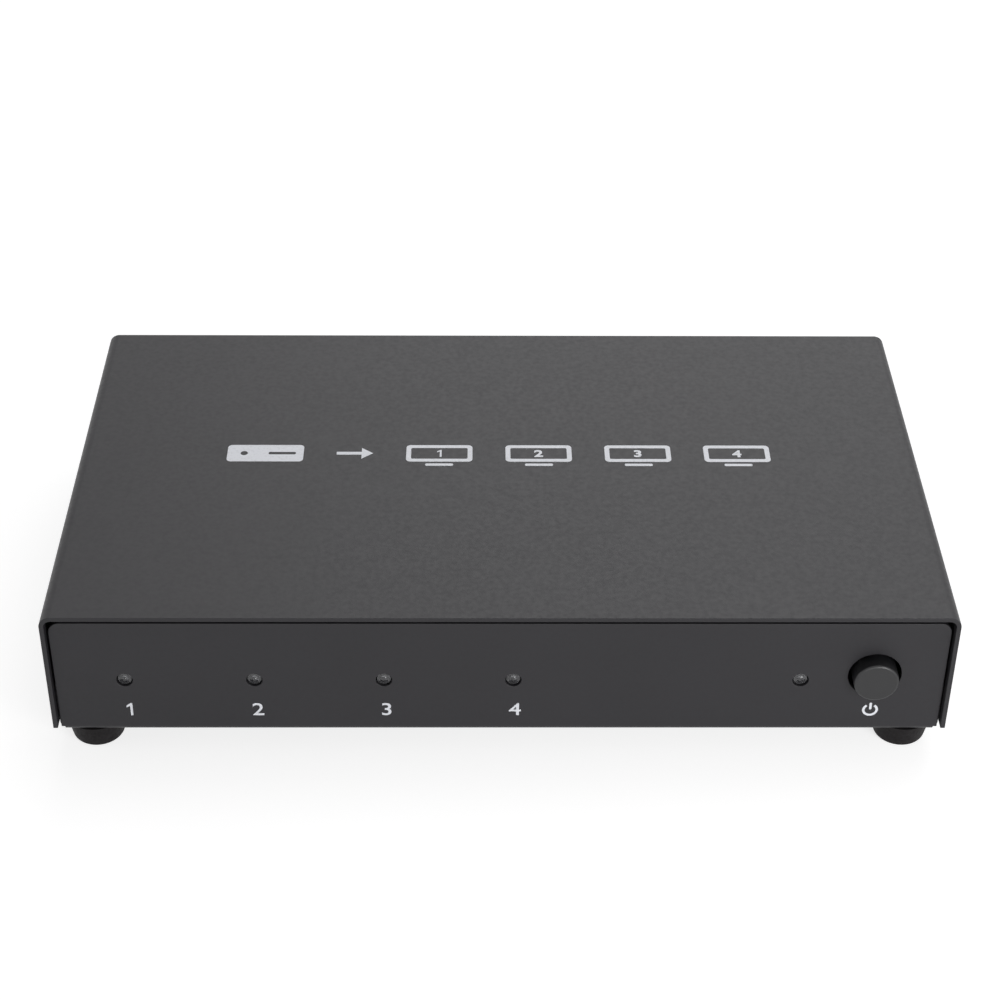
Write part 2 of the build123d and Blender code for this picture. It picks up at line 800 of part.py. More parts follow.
# Indicator lamp: a clear body with a domed tip and a flange at its back, tip at zero depth
led_shoulder = led_length - led_flange_length
with BuildPart() as led:
    with BuildSketch(Plane.XY):
        with BuildLine():
            RadiusArc((0, 0), (led_radius, led_radius), led_radius)
            Polyline(
                (led_radius, led_radius),
                (led_radius, led_shoulder),
                (led_flange_radius, led_shoulder),
                (led_flange_radius, led_length),
                (0, led_length),
                (0, 0),
            )
        make_face()
    revolve(axis=Axis.Y)
led_names = [f"port_led_{port + 1}" for port in range(output_count)] + ["power_led"]
for name, x in zip(led_names, led_xs):
    placed(led.part, name, (x, led_tip_y, led_z))

# Lamp leads: square wires from each flange, bent down through the board
half_lead = led_lead_width / 2
with BuildPart() as led_leads:
    with BuildSketch(*[Plane.YZ.offset(x) for x, _ in lead_places]):
        with Locations((led_back_y, led_z + half_lead)):
            Rectangle(led_lead_run + half_lead, led_lead_width, align=(Align.MIN, Align.MAX))
        with Locations((led_lead_y, led_z + half_lead)):
            Rectangle(led_lead_width, led_z + half_lead - tail_end_z, align=(Align.CENTER, Align.MAX))
    extrude(amount=half_lead, both=True)
save(led_leads.part, "led_leads")


def flat_chip(width, length, height):
    """Chip body on the board, with a bevelled top and a dimple by its first pin."""
    with BuildPart() as chip:
        block((-width / 2, -length / 2, 0), (width / 2, length / 2, height))
        chamfer(chip.faces().sort_by(Axis.Z)[-1].edges(), chip_edge_chamfer)
        with Locations((pin_one_inset - width / 2, pin_one_inset - length / 2, height)):
            Hole(pin_one_radius, depth=pin_one_depth)
    return chip.part


# Splitter chip, thermal pad and finned heat sink, stacked on the board
chip_x, chip_y, _ = on_board(*chip_place_shares)
placed(flat_chip(chip_width, chip_width, chip_height), "splitter_chip", (chip_x, chip_y, board_top_z))
pad_z = board_top_z + chip_height
sink_z = pad_z + pad_thickness
with BuildPart() as thermal_pad:
    block(
        (chip_x - chip_width / 2, chip_y - chip_width / 2, pad_z),
        (chip_x + chip_width / 2, chip_y + chip_width / 2, sink_z),
    )
save(thermal_pad.part, "thermal_pad")

fin_pitch = (heat_sink_width - heat_sink_fin) / (heat_sink_fin_count - 1)
with BuildPart() as heat_sink:
    with BuildSketch(Plane.XZ.offset(-chip_y - heat_sink_width / 2)):
        with Locations((chip_x, sink_z)):
            Rectangle(heat_sink_width, heat_sink_base, align=(Align.CENTER, Align.MIN))
        with Locations((chip_x, sink_z + heat_sink_height / 2)):
            with GridLocations(fin_pitch, heat_sink_height, heat_sink_fin_count, 1):
                Rectangle(heat_sink_fin, heat_sink_height)
    extrude(amount=heat_sink_width)
save(heat_sink.part, "heat_sink")

# Port drivers: one chip in front of each output socket
driver_y = socket_mouth_y - socket_depth - driver_gap - driver_width / 2
driver = flat_chip(driver_width, driver_width, driver_height)
for port, x in enumerate(output_xs):
    placed(driver, f"port_driver_{port + 1}", (x, driver_y, board_top_z))

# Memory chip and its bent leads
memory_place = on_board(*memory_place_shares)
placed(flat_chip(memory_width, memory_length, memory_height), "memory_chip", memory_place)
lead_ys = [(i - (memory_lead_count - 1) / 2) * memory_lead_pitch for i in range(memory_lead_count)]
with BuildPart() as memory_leads:
    with BuildSketch(*[across(y + memory_lead_width / 2) for y in lead_ys]):
        with Locations((memory_width / 2, lead_root_height)):
            Rectangle(memory_lead_reach / 2, memory_lead_thickness, align=(Align.MIN, Align.MAX))
        with Locations((memory_width / 2 + memory_lead_reach / 2, 0)):
            Rectangle(memory_lead_thickness, lead_root_height, align=(Align.MAX, Align.MIN))
            Rectangle(memory_lead_reach / 2, memory_lead_thickness, align=Align.MIN)
        mirror(about=Plane.YZ)
    extrude(amount=memory_lead_width)
placed(memory_leads.part, "memory_chip_leads", memory_place)

# Regulator: a plastic body on a metal tab, with two leads at the front
tab_x = regulator_width / 2
with BuildPart() as regulator_metal:
    block((-tab_x, 0, 0), (tab_x, regulator_length / 2 + regulator_tab_reach, regulator_tab_thickness))
    for side in (-1, 1):
        x = side * regulator_lead_pitch / 2
        block(
            (x - regulator_lead_width / 2, -regulator_length / 2 - regulator_lead_reach, 0),
            (x + regulator_lead_width / 2, -regulator_length / 2, regulator_tab_thickness),
        )
with BuildPart() as regulator_body:
    block((-tab_x, -regulator_length / 2, 0), (tab_x, regulator_length / 2, regulator_height))
    chamfer(regulator_body.faces().sort_by(Axis.Z)[-1].edges(), regulator_tab_thickness)
    add(regulator_metal.part, mode=Mode.SUBTRACT)
regulator_place = on_board(*regulator_place_shares)
placed(regulator_body.part, "regulator_body", regulator_place)
placed(regulator_metal.part, "regulator_tab", regulator_place)

# Power inductor: a shielded square block with a ring groove round its core
with BuildPart() as inductor:
    with BuildSketch():
        RectangleRounded(inductor_width, inductor_width, inductor_rounding)
    extrude(amount=inductor_height)
    with BuildSketch(Plane.XY.offset(inductor_height)):
        Circle(inductor_core_radius + inductor_groove)
        Circle(inductor_core_radius, mode=Mode.SUBTRACT)
    extrude(amount=-inductor_groove, mode=Mode.SUBTRACT)
placed(inductor.part, "power_inductor", on_board(*inductor_place_shares))

# Filter capacitors: round cans on square plastic bases
with BuildPart() as capacitor_base:
    with BuildSketch():
        Rectangle(capacitor_base_width, capacitor_base_width)
    extrude(amount=capacitor_base_height)
with BuildPart() as capacitor_can:
    with Locations((0, 0, capacitor_base_height)):
        Cylinder(
            capacitor_radius,
            capacitor_height - capacitor_base_height,
            align=(Align.CENTER, Align.CENTER, Align.MIN),
        )
    fillet(capacitor_can.edges().filter_by(GeomType.CIRCLE), capacitor_rounding)
capacitor_x, capacitor_y, _ = on_board(*capacitor_place_shares)
capacitor_ys = [capacitor_y - number * capacitor_pitch for number in range(capacitor_count)]
capacitor_places = [(capacitor_x, y, board_top_z) for y in capacitor_ys]
placed(capacitor_base.part, "capacitor_bases", *capacitor_places)
for number, place in enumerate(capacitor_places):
    placed(capacitor_can.part, f"filter_capacitor_{number + 1}", place)

# Crystal: a low metal can with round ends
with BuildPart() as crystal:
    with BuildSketch():
        SlotOverall(crystal_length, crystal_width)
    extrude(amount=crystal_height)
    fillet(crystal.faces().sort_by(Axis.Z)[-1].edges(), crystal_rounding)
placed(crystal.part, "crystal", on_board(*crystal_place_shares))

# Small parts in double lines: capacitors in front of the splitter chip, resistors before each driver
with BuildPart() as small_capacitors:
    with Locations(on_board(chip_place_shares[0], small_capacitor_y_share)):
        with GridLocations(small_capacitor_pitch, small_line_pitch, small_capacitor_count, small_line_count):
            Box(small_length, small_width, small_height, align=(Align.CENTER, Align.CENTER, Align.MIN))
save(small_capacitors.part, "small_capacitors")
small_resistor_y = driver_y - driver_width / 2 - small_resistor_gap
with BuildPart() as small_resistors:
    with Locations(*[(x, small_resistor_y, board_top_z) for x in output_xs[1:]]):
        with GridLocations(small_resistor_pitch, small_line_pitch, small_resistor_count, small_line_count):
            Box(small_width, small_length, small_height, align=(Align.CENTER, Align.CENTER, Align.MIN))
save(small_resistors.part, "small_resistors")
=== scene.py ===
"""Dresses a packed four-way video splitter: finishes, print, lamp frames, solder, stage and camera."""

import math

import bmesh
import bpy
from bpy.props import FloatProperty, FloatVectorProperty, IntProperty, PointerProperty
from mathutils import Matrix, Vector


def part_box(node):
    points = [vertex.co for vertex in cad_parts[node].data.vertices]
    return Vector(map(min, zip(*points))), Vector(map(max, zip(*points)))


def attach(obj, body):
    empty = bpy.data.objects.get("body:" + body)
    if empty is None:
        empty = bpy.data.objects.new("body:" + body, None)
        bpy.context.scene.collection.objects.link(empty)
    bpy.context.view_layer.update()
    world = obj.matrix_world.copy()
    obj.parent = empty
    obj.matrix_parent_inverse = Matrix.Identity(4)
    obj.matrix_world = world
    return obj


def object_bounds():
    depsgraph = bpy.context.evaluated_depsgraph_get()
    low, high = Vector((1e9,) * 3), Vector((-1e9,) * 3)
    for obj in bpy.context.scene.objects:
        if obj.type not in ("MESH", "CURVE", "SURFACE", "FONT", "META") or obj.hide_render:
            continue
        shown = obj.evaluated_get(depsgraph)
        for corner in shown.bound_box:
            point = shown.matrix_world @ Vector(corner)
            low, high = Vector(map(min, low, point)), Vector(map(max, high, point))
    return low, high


bl_info = {
    "name": "Video splitter finishes",
    "version": (1, 0, 0),
    "blender": (4, 5, 0),
    "location": "View3D > Sidebar > Splitter",
    "description": "Finishes, print, inner details and stage of a packed video splitter",
    "category": "Object",
}

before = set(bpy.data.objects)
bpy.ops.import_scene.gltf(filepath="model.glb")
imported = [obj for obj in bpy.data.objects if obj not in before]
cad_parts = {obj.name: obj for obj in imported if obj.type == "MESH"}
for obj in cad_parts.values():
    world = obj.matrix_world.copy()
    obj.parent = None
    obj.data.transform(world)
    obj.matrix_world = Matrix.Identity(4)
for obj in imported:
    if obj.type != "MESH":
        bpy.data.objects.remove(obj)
CAD_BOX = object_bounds()

MM = 0.001
PORTS = 4
LAMPS = [f"port_led_{port + 1}" for port in range(PORTS)] + ["power_led"]
SOCKETS = [f"output_socket_{port + 1}" for port in range(PORTS)] + ["input_socket"]
SLOT_NODES = {}
for node_name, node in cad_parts.items():
    SLOT_NODES.setdefault(node.material_slots[0].material.name, []).append(node_name)


def tone(red, green, blue):
    """Linear colour of a display tone, each channel from 0 to 255."""
    shares = [channel / 255 for channel in (red, green, blue)]
    return tuple(s / 12.92 if s <= 0.04045 else ((s + 0.055) / 1.055) ** 2.4 for s in shares)


# Where things are, in metres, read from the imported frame
COVER_LOW, COVER_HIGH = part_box("top_cover")
TRAY_LOW, TRAY_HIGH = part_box("base_tray")
BOARD_LOW, BOARD_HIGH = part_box("main_board")


def middle(node_name):
    """Middle of a CAD node's box."""
    low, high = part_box(node_name)
    return (low + high) / 2


def feed(links, value, target):
    """Link a socket to a node's input, or set the input to a value."""
    if isinstance(value, bpy.types.NodeSocket):
        links.new(value, target)
    else:
        target.default_value = value


class Finish:
    """A Principled material whose patterns read the piece's own coordinates."""

    def __init__(self, name, colour, roughness, metallic=0.0):
        self.material = bpy.data.materials.new(name)
        self.material.use_nodes = True
        self.nodes = self.material.node_tree.nodes
        self.links = self.material.node_tree.links
        self.shader = self.nodes["Principled BSDF"]
        self.place = self.nodes.new("ShaderNodeTexCoord").outputs["Object"]
        self.set("Base Color", (*colour, 1.0))
        self.set("Roughness", roughness)
        self.set("Metallic", metallic)

    def set(self, socket, value):
        self.shader.inputs[socket].default_value = value

    def add(self, kind, **inputs):
        """A node with its inputs linked to sockets or set to values; underscores stand for spaces."""
        made = self.nodes.new(kind)
        for key, value in inputs.items():
            feed(self.links, value, made.inputs[key.replace("_", " ")])
        return made

    def noise(self, grain, detail=2.0, stretch=(1.0, 1.0, 1.0)):
        """Noise with grains of that size in metres, drawn out along an axis by a stretch above 1."""
        scale = [1 / (grain * along) for along in stretch]
        mapped = self.add("ShaderNodeMapping", Vector=self.place, Scale=scale)
        return self.add(
            "ShaderNodeTexNoise", Vector=mapped.outputs["Vector"], Scale=1.0, Detail=detail
        ).outputs["Fac"]

    def spots(self, grain):
        """Distance to scattered cell centres of that spacing, in cells."""
        mapped = self.add("ShaderNodeMapping", Vector=self.place, Scale=[1 / grain] * 3)
        return self.add(
            "ShaderNodeTexVoronoi", Vector=mapped.outputs["Vector"], Scale=1.0
        ).outputs["Distance"]

    def spread(self, factor, low, high, start=0.3, end=0.7):
        """A factor between start and end becomes a value between low and high."""
        return self.add(
            "ShaderNodeMapRange",
            Value=factor,
            From_Min=start,
            From_Max=end,
            To_Min=low,
            To_Max=high,
        ).outputs["Result"]

    def vary_colour(self, factor, dark, light, start=0.3, end=0.7):
        ramp = self.nodes.new("ShaderNodeValToRGB")
        self.links.new(factor, ramp.inputs["Fac"])
        for element, place, colour in zip(ramp.color_ramp.elements, (start, end), (dark, light)):
            element.position = place
            element.color = (*colour, 1.0)
        self.links.new(ramp.outputs["Color"], self.shader.inputs["Base Color"])

    def vary_roughness(self, factor, low, high):
        self.links.new(self.spread(factor, low, high), self.shader.inputs["Roughness"])

    def bump(self, height, depth, strength=1.0):
        """Relief of that depth in metres; calls add up."""
        bump = self.add("ShaderNodeBump", Height=height, Distance=depth, Strength=strength)
        normal = self.shader.inputs["Normal"]
        if normal.is_linked:
            self.links.new(normal.links[0].from_socket, bump.inputs["Normal"])
        self.links.new(bump.outputs["Normal"], normal)


def shade(colour, share):
    """A colour made darker or lighter by a share."""
    return tuple(channel * share for channel in colour)


def painted(name, colour, roughness):
    """Powder coat: fine orange peel with soft mottling."""
    finish = Finish(name, colour, roughness)
    finish.set("Specular IOR Level", 0.32)
    finish.vary_colour(finish.noise(18 * MM, 3.0), shade(colour, 0.95), shade(colour, 1.06))
    finish.vary_roughness(finish.noise(1.1 * MM), roughness - 0.05, roughness + 0.06)
    finish.bump(finish.noise(0.9 * MM, 1.0), 0.004 * MM)
    finish.bump(finish.noise(0.22 * MM, 1.0), 0.003 * MM)
    return finish


def moulded(name, colour, roughness, grain=0.25 * MM):
    """Moulded plastic: a fine spark-eroded grain and a faint flow mottle."""
    finish = Finish(name, colour, roughness)
    finish.vary_colour(finish.noise(4 * MM), shade(colour, 0.9), shade(colour, 1.12))
    finish.vary_roughness(finish.noise(grain * 4), roughness - 0.05, roughness + 0.05)
    finish.bump(finish.noise(grain, 1.0), 0.004 * MM)
    return finish


def plated(name, colour, roughness, along=(1.0, 1.0, 1.0)):
    """Plated or drawn metal: faint dulling and hairlines along the way it was worked."""
    finish = Finish(name, colour, roughness, metallic=1.0)
    finish.vary_colour(finish.noise(2.5 * MM), shade(colour, 0.86), colour)
    finish.vary_roughness(finish.noise(0.3 * MM, 2.0, along), roughness - 0.08, roughness + 0.1)
    finish.bump(finish.noise(0.08 * MM, 1.0, along), 0.0015 * MM)
    return finish


def rubbery(name, colour, roughness):
    """Moulded rubber: dull, with a pebbled skin and dusty patches."""
    finish = Finish(name, colour, roughness)
    finish.set("Specular IOR Level", 0.12)
    finish.vary_colour(finish.noise(1.8 * MM, 4.0), colour, shade(colour, 1.4), 0.4, 0.75)
    finish.vary_roughness(finish.noise(0.7 * MM), roughness - 0.08, roughness + 0.1)
    finish.bump(finish.noise(0.35 * MM, 2.0), 0.012 * MM)
    return finish


def clear_epoxy(name, colour):
    """Water-clear lamp body, faintly hazed."""
    finish = Finish(name, colour, 0.2)
    finish.set("Transmission Weight", 0.6)
    finish.set("IOR", 1.53)
    finish.vary_roughness(finish.noise(0.5 * MM), 0.1, 0.18)
    return finish


def solder_mask(name, colour):
    """Board lacquer over a weave, with copper runs showing as paler lines."""
    finish = Finish(name, colour, 0.3)
    runs = finish.add(
        "ShaderNodeTexWave",
        Vector=finish.add(
            "ShaderNodeMapping", Vector=finish.place, Scale=[1 / (1.6 * MM)] * 3
        ).outputs["Vector"],
        Scale=0.4,
        Distortion=4.0,
        Detail=0.0,
        Detail_Scale=0.15,
    )
    finish.vary_colour(runs.outputs["Fac"], colour, shade(colour, 1.7), 0.8, 0.84)
    finish.vary_roughness(finish.noise(0.5 * MM), 0.24, 0.38)
    finish.bump(finish.spread(runs.outputs["Fac"], 0.0, 1.0, 0.8, 0.84), 0.03 * MM)
    finish.bump(finish.noise(0.4 * MM, 1.0), 0.006 * MM)
    return finish


def printed(name, colour):
    """Screen-printed ink: matt and slightly uneven."""
    finish = Finish(name, colour, 0.55)
    finish.vary_colour(finish.noise(0.5 * MM, 3.0), shade(colour, 0.9), colour, 0.3, 0.5)
    finish.vary_roughness(finish.noise(0.3 * MM), 0.48, 0.64)
    finish.bump(finish.noise(0.2 * MM, 2.0), 0.004 * MM)
    return finish


def ceramic(name, colour):
    """Fired ceramic or ferrite: dull, with dark and pale specks."""
    finish = Finish(name, colour, 0.6)
    finish.vary_colour(finish.spots(0.12 * MM), shade(colour, 1.25), shade(colour, 0.75), 0.1, 0.7)
    finish.bump(finish.noise(0.1 * MM, 2.0), 0.004 * MM)
    return finish


def dress(slot, finish):
    """Every CAD node of a record slot gets a finish."""
    for name in SLOT_NODES[slot]:
        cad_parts[name].material_slots[0].material = finish.material


def piece(name, mesh, body="case"):
    """A finished mesh at the origin, riding on a body."""
    made = linked(name, mesh)
    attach(made, body)


def linked(name, data):
    """A new object in the scene."""
    made = bpy.data.objects.new(name, data)
    bpy.context.scene.collection.objects.link(made)
    return made


def as_mesh(carrier, name):
    """Plain mesh of an object with its modifiers, which is then removed."""
    bpy.context.view_layer.update()
    evaluated = carrier.evaluated_get(bpy.context.evaluated_depsgraph_get())
    mesh = bpy.data.meshes.new_from_object(evaluated)
    mesh.name = name
    bpy.data.objects.remove(carrier)
    return mesh


# Flat print, drawn in millimetres; figures but the 1 are broader than the typeface has them
FIGURE_BREADTH = 1.12
FIGURE_CURVE_STEPS = 6
FIGURE_SHIFT = 0.4
MERGE_DISTANCE = 0.0005
FIGURE_ONE = [
    (0.185, -0.5),
    (0.185, 0.5),
    (0.085, 0.5),
    (-0.185, 0.29),
    (-0.185, 0.15),
    (0.035, 0.27),
    (0.035, -0.5),
]


def rounded_box(x, y, width, height, radius, steps=6):
    """Outline of a box with round corners, by its middle."""
    points = []
    for corner in range(4):
        turn = corner * math.pi / 2
        side_x = 1 if corner in (0, 3) else -1
        side_y = 1 if corner in (0, 1) else -1
        for step in range(steps + 1):
            angle = turn + step / steps * math.pi / 2
            points.append(
                (
                    x + side_x * (width / 2 - radius) + radius * math.cos(angle),
                    y + side_y * (height / 2 - radius) + radius * math.sin(angle),
                )
            )
    return points


def arc_band(x, y, radius, stroke, start, end, steps=40):
    """Outline of an arc with a stroke, between two angles in degrees."""
    angles = [math.radians(start + (end - start) * step / steps) for step in range(steps + 1)]
    outer, inner = radius + stroke / 2, radius - stroke / 2
    band = [(x + outer * math.cos(a), y + outer * math.sin(a)) for a in angles]
    return band + [(x + inner * math.cos(a), y + inner * math.sin(a)) for a in reversed(angles)]


def disc(x, y, radius, steps=32):
    """Outline of a disc."""
    angles = [2 * math.pi * step / steps for step in range(steps)]
    return [(x + radius * math.cos(a), y + radius * math.sin(a)) for a in angles]


def inked(name, outlines, thickness):
    """Flat closed mesh of outlines in millimetres; an outline inside another one is a hole."""
    curve = bpy.data.curves.new(name, "CURVE")
    curve.dimensions = "2D"
    curve.fill_mode = "BOTH"
    curve.extrude = thickness / 2
    for outline in outlines:
        spline = curve.splines.new("POLY")
        spline.points.add(len(outline) - 1)
        for point, (x, y) in zip(spline.points, outline):
            point.co = (x, y, 0.0, 1.0)
        spline.use_cyclic_u = True
    return as_mesh(linked(name, curve), name)


def figure_one(height, thickness):
    """Flat closed mesh of a figure 1 with a flag, centred on its own box; sizes in millimetres."""
    return inked("1", [[(x * height, y * height) for x, y in FIGURE_ONE]], thickness)


def figure(text, height, weight, thickness):
    """Flat closed mesh of plain figures, centred on its own box; sizes in millimetres."""
    if text == "1":
        return figure_one(height, thickness)
    curve = bpy.data.curves.new(text, "FONT")
    curve.body = text
    curve.size = height
    curve.extrude = thickness / 2
    curve.offset = weight
    curve.resolution_u = FIGURE_CURVE_STEPS
    mesh = as_mesh(linked(text, curve), text)
    xs = [v.co.x for v in mesh.vertices]
    ys = [v.co.y for v in mesh.vertices]
    scale = height / (max(ys) - min(ys))
    centre = Vector(((min(xs) + max(xs)) / 2, (min(ys) + max(ys)) / 2, 0.0))
    flat = Matrix.Diagonal((scale * FIGURE_BREADTH, scale, 1.0, 1.0))
    mesh.transform(flat @ Matrix.Translation(-centre))
    return mesh


def joined(name, meshes):
    """One mesh of several, with its faces pointing outwards."""
    work = bmesh.new()
    for mesh in meshes:
        work.from_mesh(mesh)
        bpy.data.meshes.remove(mesh)
    bmesh.ops.remove_doubles(work, verts=work.verts, dist=MERGE_DISTANCE)
    bmesh.ops.recalc_face_normals(work, faces=work.faces)
    result = bpy.data.meshes.new(name)
    work.to_mesh(result)
    work.free()
    return result


def set_print(mesh, place, ink):
    """Print goes to its place on the case, in its ink."""
    mesh.transform(place)
    mesh.materials.clear()
    mesh.materials.append(ink.material)
    piece(mesh.name, mesh)


def on_front(x, z, y):
    """From print in millimetres to the front panel, in metres."""
    return Matrix.Translation((x, y, z)) @ Matrix.Rotation(math.pi / 2, 4, "X") @ Matrix.Scale(MM, 4)


def on_rear(x, z, y):
    """From print in millimetres to the rear panel, read from behind."""
    turn = Matrix.Rotation(math.pi, 4, "Z") @ Matrix.Rotation(math.pi / 2, 4, "X")
    return Matrix.Translation((x, y, z)) @ turn @ Matrix.Scale(MM, 4)


def on_top(x, y, z):
    """From print in millimetres to a level face, read from the front."""
    return Matrix.Translation((x, y, z)) @ Matrix.Scale(MM, 4)


# In a tree's own unit: millimetres for the cover's print, and metres for the plated holes,
# whose thin rings it flattens
SEAM_DISTANCE = 1e-4
OUTLINE_STEPS = 6


class Tree:
    """A geometry node tree with named inputs, ending in Realize Instances and Set Material."""

    def __init__(self, name):
        self.group = bpy.data.node_groups.new(name, "GeometryNodeTree")
        kind = "NodeSocketGeometry"
        for end in ("INPUT", "OUTPUT"):
            self.group.interface.new_socket("Geometry", in_out=end, socket_type=kind)
        self.inlet = self.group.nodes.new("NodeGroupInput")
        self.outlet = self.group.nodes.new("NodeGroupOutput")
        self.values = {}

    def input(self, name, value, kind="NodeSocketFloat"):
        """A named input with the value that this model gives it."""
        socket = self.group.interface.new_socket(name, in_out="INPUT", socket_type=kind)
        self.values[socket.identifier] = value
        return self.inlet.outputs[name]

    def add(self, kind, settings=None, **inputs):
        """A node with settings, and inputs linked or set; underscores stand for spaces."""
        made = self.group.nodes.new(kind)
        for key, value in (settings or {}).items():
            setattr(made, key, value)
        for key, value in inputs.items():
            for one in value if isinstance(value, list) else [value]:
                feed(self.group.links, one, made.inputs[key.replace("_", " ")])
        return made.outputs[0]

    def vector(self, x=0.0, y=0.0, z=0.0):
        return self.add("ShaderNodeCombineXYZ", X=x, Y=y, Z=z)

    def sum(self, kind, first, second):
        """Two numbers put together by a kind such as ADD or MULTIPLY."""
        made = self.group.nodes.new("ShaderNodeMath")
        made.operation = kind
        for target, value in zip(made.inputs, (first, second)):
            feed(self.group.links, value, target)
        return made.outputs[0]

    def join(self, parts):
        return self.add("GeometryNodeJoinGeometry", Geometry=parts)

    def times(self, value, share):
        return self.sum("MULTIPLY", value, share)

    def moved(self, shape, place, turn=(0.0, 0.0, 0.0)):
        return self.add("GeometryNodeTransform", Geometry=shape, Translation=place, Rotation=turn)

    def box(self, size, place):
        """A box by its size and its middle."""
        return self.moved(self.add("GeometryNodeMeshCube", Size=size), place)

    def row(self, count, start, step):
        """Points in a straight row."""
        return self.add(
            "GeometryNodeMeshLine", {"mode": "OFFSET"}, Count=count, Start_Location=start, Offset=step
        )

    def copies(self, shape, points=None):
        """The shape on each point, which are those of the tree's own mesh unless given."""
        points = points or self.inlet.outputs["Geometry"]
        return self.add("GeometryNodeInstanceOnPoints", Points=points, Instance=shape)

    def slab(self, outlines, thickness):
        """Closed slab of nested outlines, rising from zero height."""
        curve = self.join(outlines)
        face = self.add("GeometryNodeFillCurve", {"mode": "TRIANGLES"}, Curve=curve)
        raised = self.add(
            "GeometryNodeExtrudeMesh", Mesh=face, Offset_Scale=thickness, Individual=False
        )
        under = self.add("GeometryNodeFlipFaces", Mesh=face)
        both = self.join([raised, under])
        return self.add("GeometryNodeMergeByDistance", Geometry=both, Distance=SEAM_DISTANCE)

    def frame_outline(self, width, height, radius):
        """Outline of a box with round corners, as a curve."""
        box = self.add("GeometryNodeCurvePrimitiveQuadrilateral", Width=width, Height=height)
        return self.add(
            "GeometryNodeFilletCurve",
            {"mode": "POLY"},
            Curve=box,
            Radius=radius,
            Count=OUTLINE_STEPS,
            Limit_Radius=True,
        )

    def run(self, name, shape, material, base=None):
        """Plain mesh of the tree's result, with its instances realized and its material set."""
        real = self.add("GeometryNodeRealizeInstances", Geometry=shape)
        done = self.add("GeometryNodeSetMaterial", Geometry=real, Material=material)
        self.group.links.new(done, self.outlet.inputs["Geometry"])
        carrier = linked(name, base or bpy.data.meshes.new(name))
        modifier = carrier.modifiers.new(name, "NODES")
        modifier.node_group = self.group
        for identifier, value in self.values.items():
            modifier[identifier] = value
        return as_mesh(carrier, name)


def point_mesh(name, places):
    """A mesh that holds only points."""
    mesh = bpy.data.meshes.new(name)
    mesh.from_pydata([tuple(place) for place in places], [], [])
    return mesh


def low_spots(node_name, reach=1.0 * MM):
    """Middles of the separate tips at a CAD node's lowest height."""
    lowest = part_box(node_name)[0].z
    groups = []
    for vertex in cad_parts[node_name].data.vertices:
        if vertex.co.z > lowest + 0.01 * MM:
            continue
        near = [g for g in groups if any((vertex.co - v).length < reach for v in g)]
        merged = [vertex.co.copy()]
        for group in near:
            merged += group
            groups.remove(group)
        groups.append(merged)
    spots = []
    for group in groups:
        low = [min(v[axis] for v in group) for axis in range(3)]
        high = [max(v[axis] for v in group) for axis in range(3)]
        spots.append((Vector(low) + Vector(high)) / 2)
    return spots


# Properties of one kind, each with its own name, description and default
def colour_of(name, description, default):
    return FloatVectorProperty(name=name, description=description, subtype="COLOR", default=default)


def length_of(name, description, default):
    return FloatProperty(name=name, description=description, unit="LENGTH", default=default)


def angle_of(name, description, default):
    return FloatProperty(name=name, description=description, unit="ROTATION", default=default)


def power_of(name, description, default):
    return FloatProperty(name=name, description=description, unit="POWER", default=default)


class SplitterCase(bpy.types.PropertyGroup):
    paint: colour_of("Paint", "Powder coat of the cover and the tray", tone(41, 40, 43))
    paint_roughness: FloatProperty(
        name="Paint roughness",
        description="Roughness of the powder coat",
        subtype="FACTOR",
        min=0.0,
        max=1.0,
        default=0.46,
    )
    rubber: colour_of("Rubber", "Colour of the feet", tone(26, 24, 25))
    screw: colour_of("Cover screws", "Colour of the black plated screws", tone(46, 46, 48))


class SplitterPrint(bpy.types.PropertyGroup):
    ink: colour_of("Ink", "Colour of the printed figures and signs", tone(244, 246, 252))
    ink_thickness: length_of("Ink thickness", "Height of the ink over the paint", 0.02 * MM)
    figure_height: length_of("Figure height", "Height of the port numbers on the front", 3.4 * MM)
    figure_level: length_of(
        "Figure level", "Middle of the port numbers over the tray's underside", 6.07 * MM
    )
    figure_weight: length_of(
        "Figure weight", "How much the figures' strokes are widened on each side", 0.03 * MM
    )
    sign_height: length_of(
        "Power sign height", "Height of the on and off sign under the button", 3.4 * MM
    )
    band_start: length_of(
        "Band start", "From the cover's front edge to the front of the printed band", 54.4 * MM
    )
    band_depth: length_of("Band depth", "Depth of the printed band on the cover", 8.1 * MM)
    band_width: length_of("Band width", "Width of the printed band on the cover", 123.0 * MM)
    screen_width: length_of("Screen width", "Width of each screen in the printed band", 15.0 * MM)
    stroke: length_of("Stroke", "Width of the lines in the printed band", 1.1 * MM)


class SplitterLamps(bpy.types.PropertyGroup):
    lens: colour_of("Lens", "Tint of the lamps' epoxy", tone(104, 104, 107))
    cup_radius: length_of("Cup radius", "Radius of the reflector cup in each lamp", 0.6 * MM)
    cup_depth: length_of("Cup depth", "Depth of the reflector cup in each lamp", 0.45 * MM)
    cup_setback: length_of("Cup setback", "From a lamp's tip to the rim of its cup", 2.0 * MM)
    post_width: length_of("Post width", "Width of the two posts in each lamp", 0.5 * MM)


class SplitterBoard(bpy.types.PropertyGroup):
    mask: colour_of("Solder mask", "Colour of the circuit board", tone(24, 84, 48))
    solder_radius: length_of("Solder radius", "Radius of each solder joint at the board", 1.0 * MM)
    solder_height: length_of(
        "Solder height", "How far each solder joint rises along its lead", 0.8 * MM
    )
    via_count: IntProperty(
        name="Vias",
        description="Number of plated holes in each stitching row",
        default=24,
        min=2,
    )


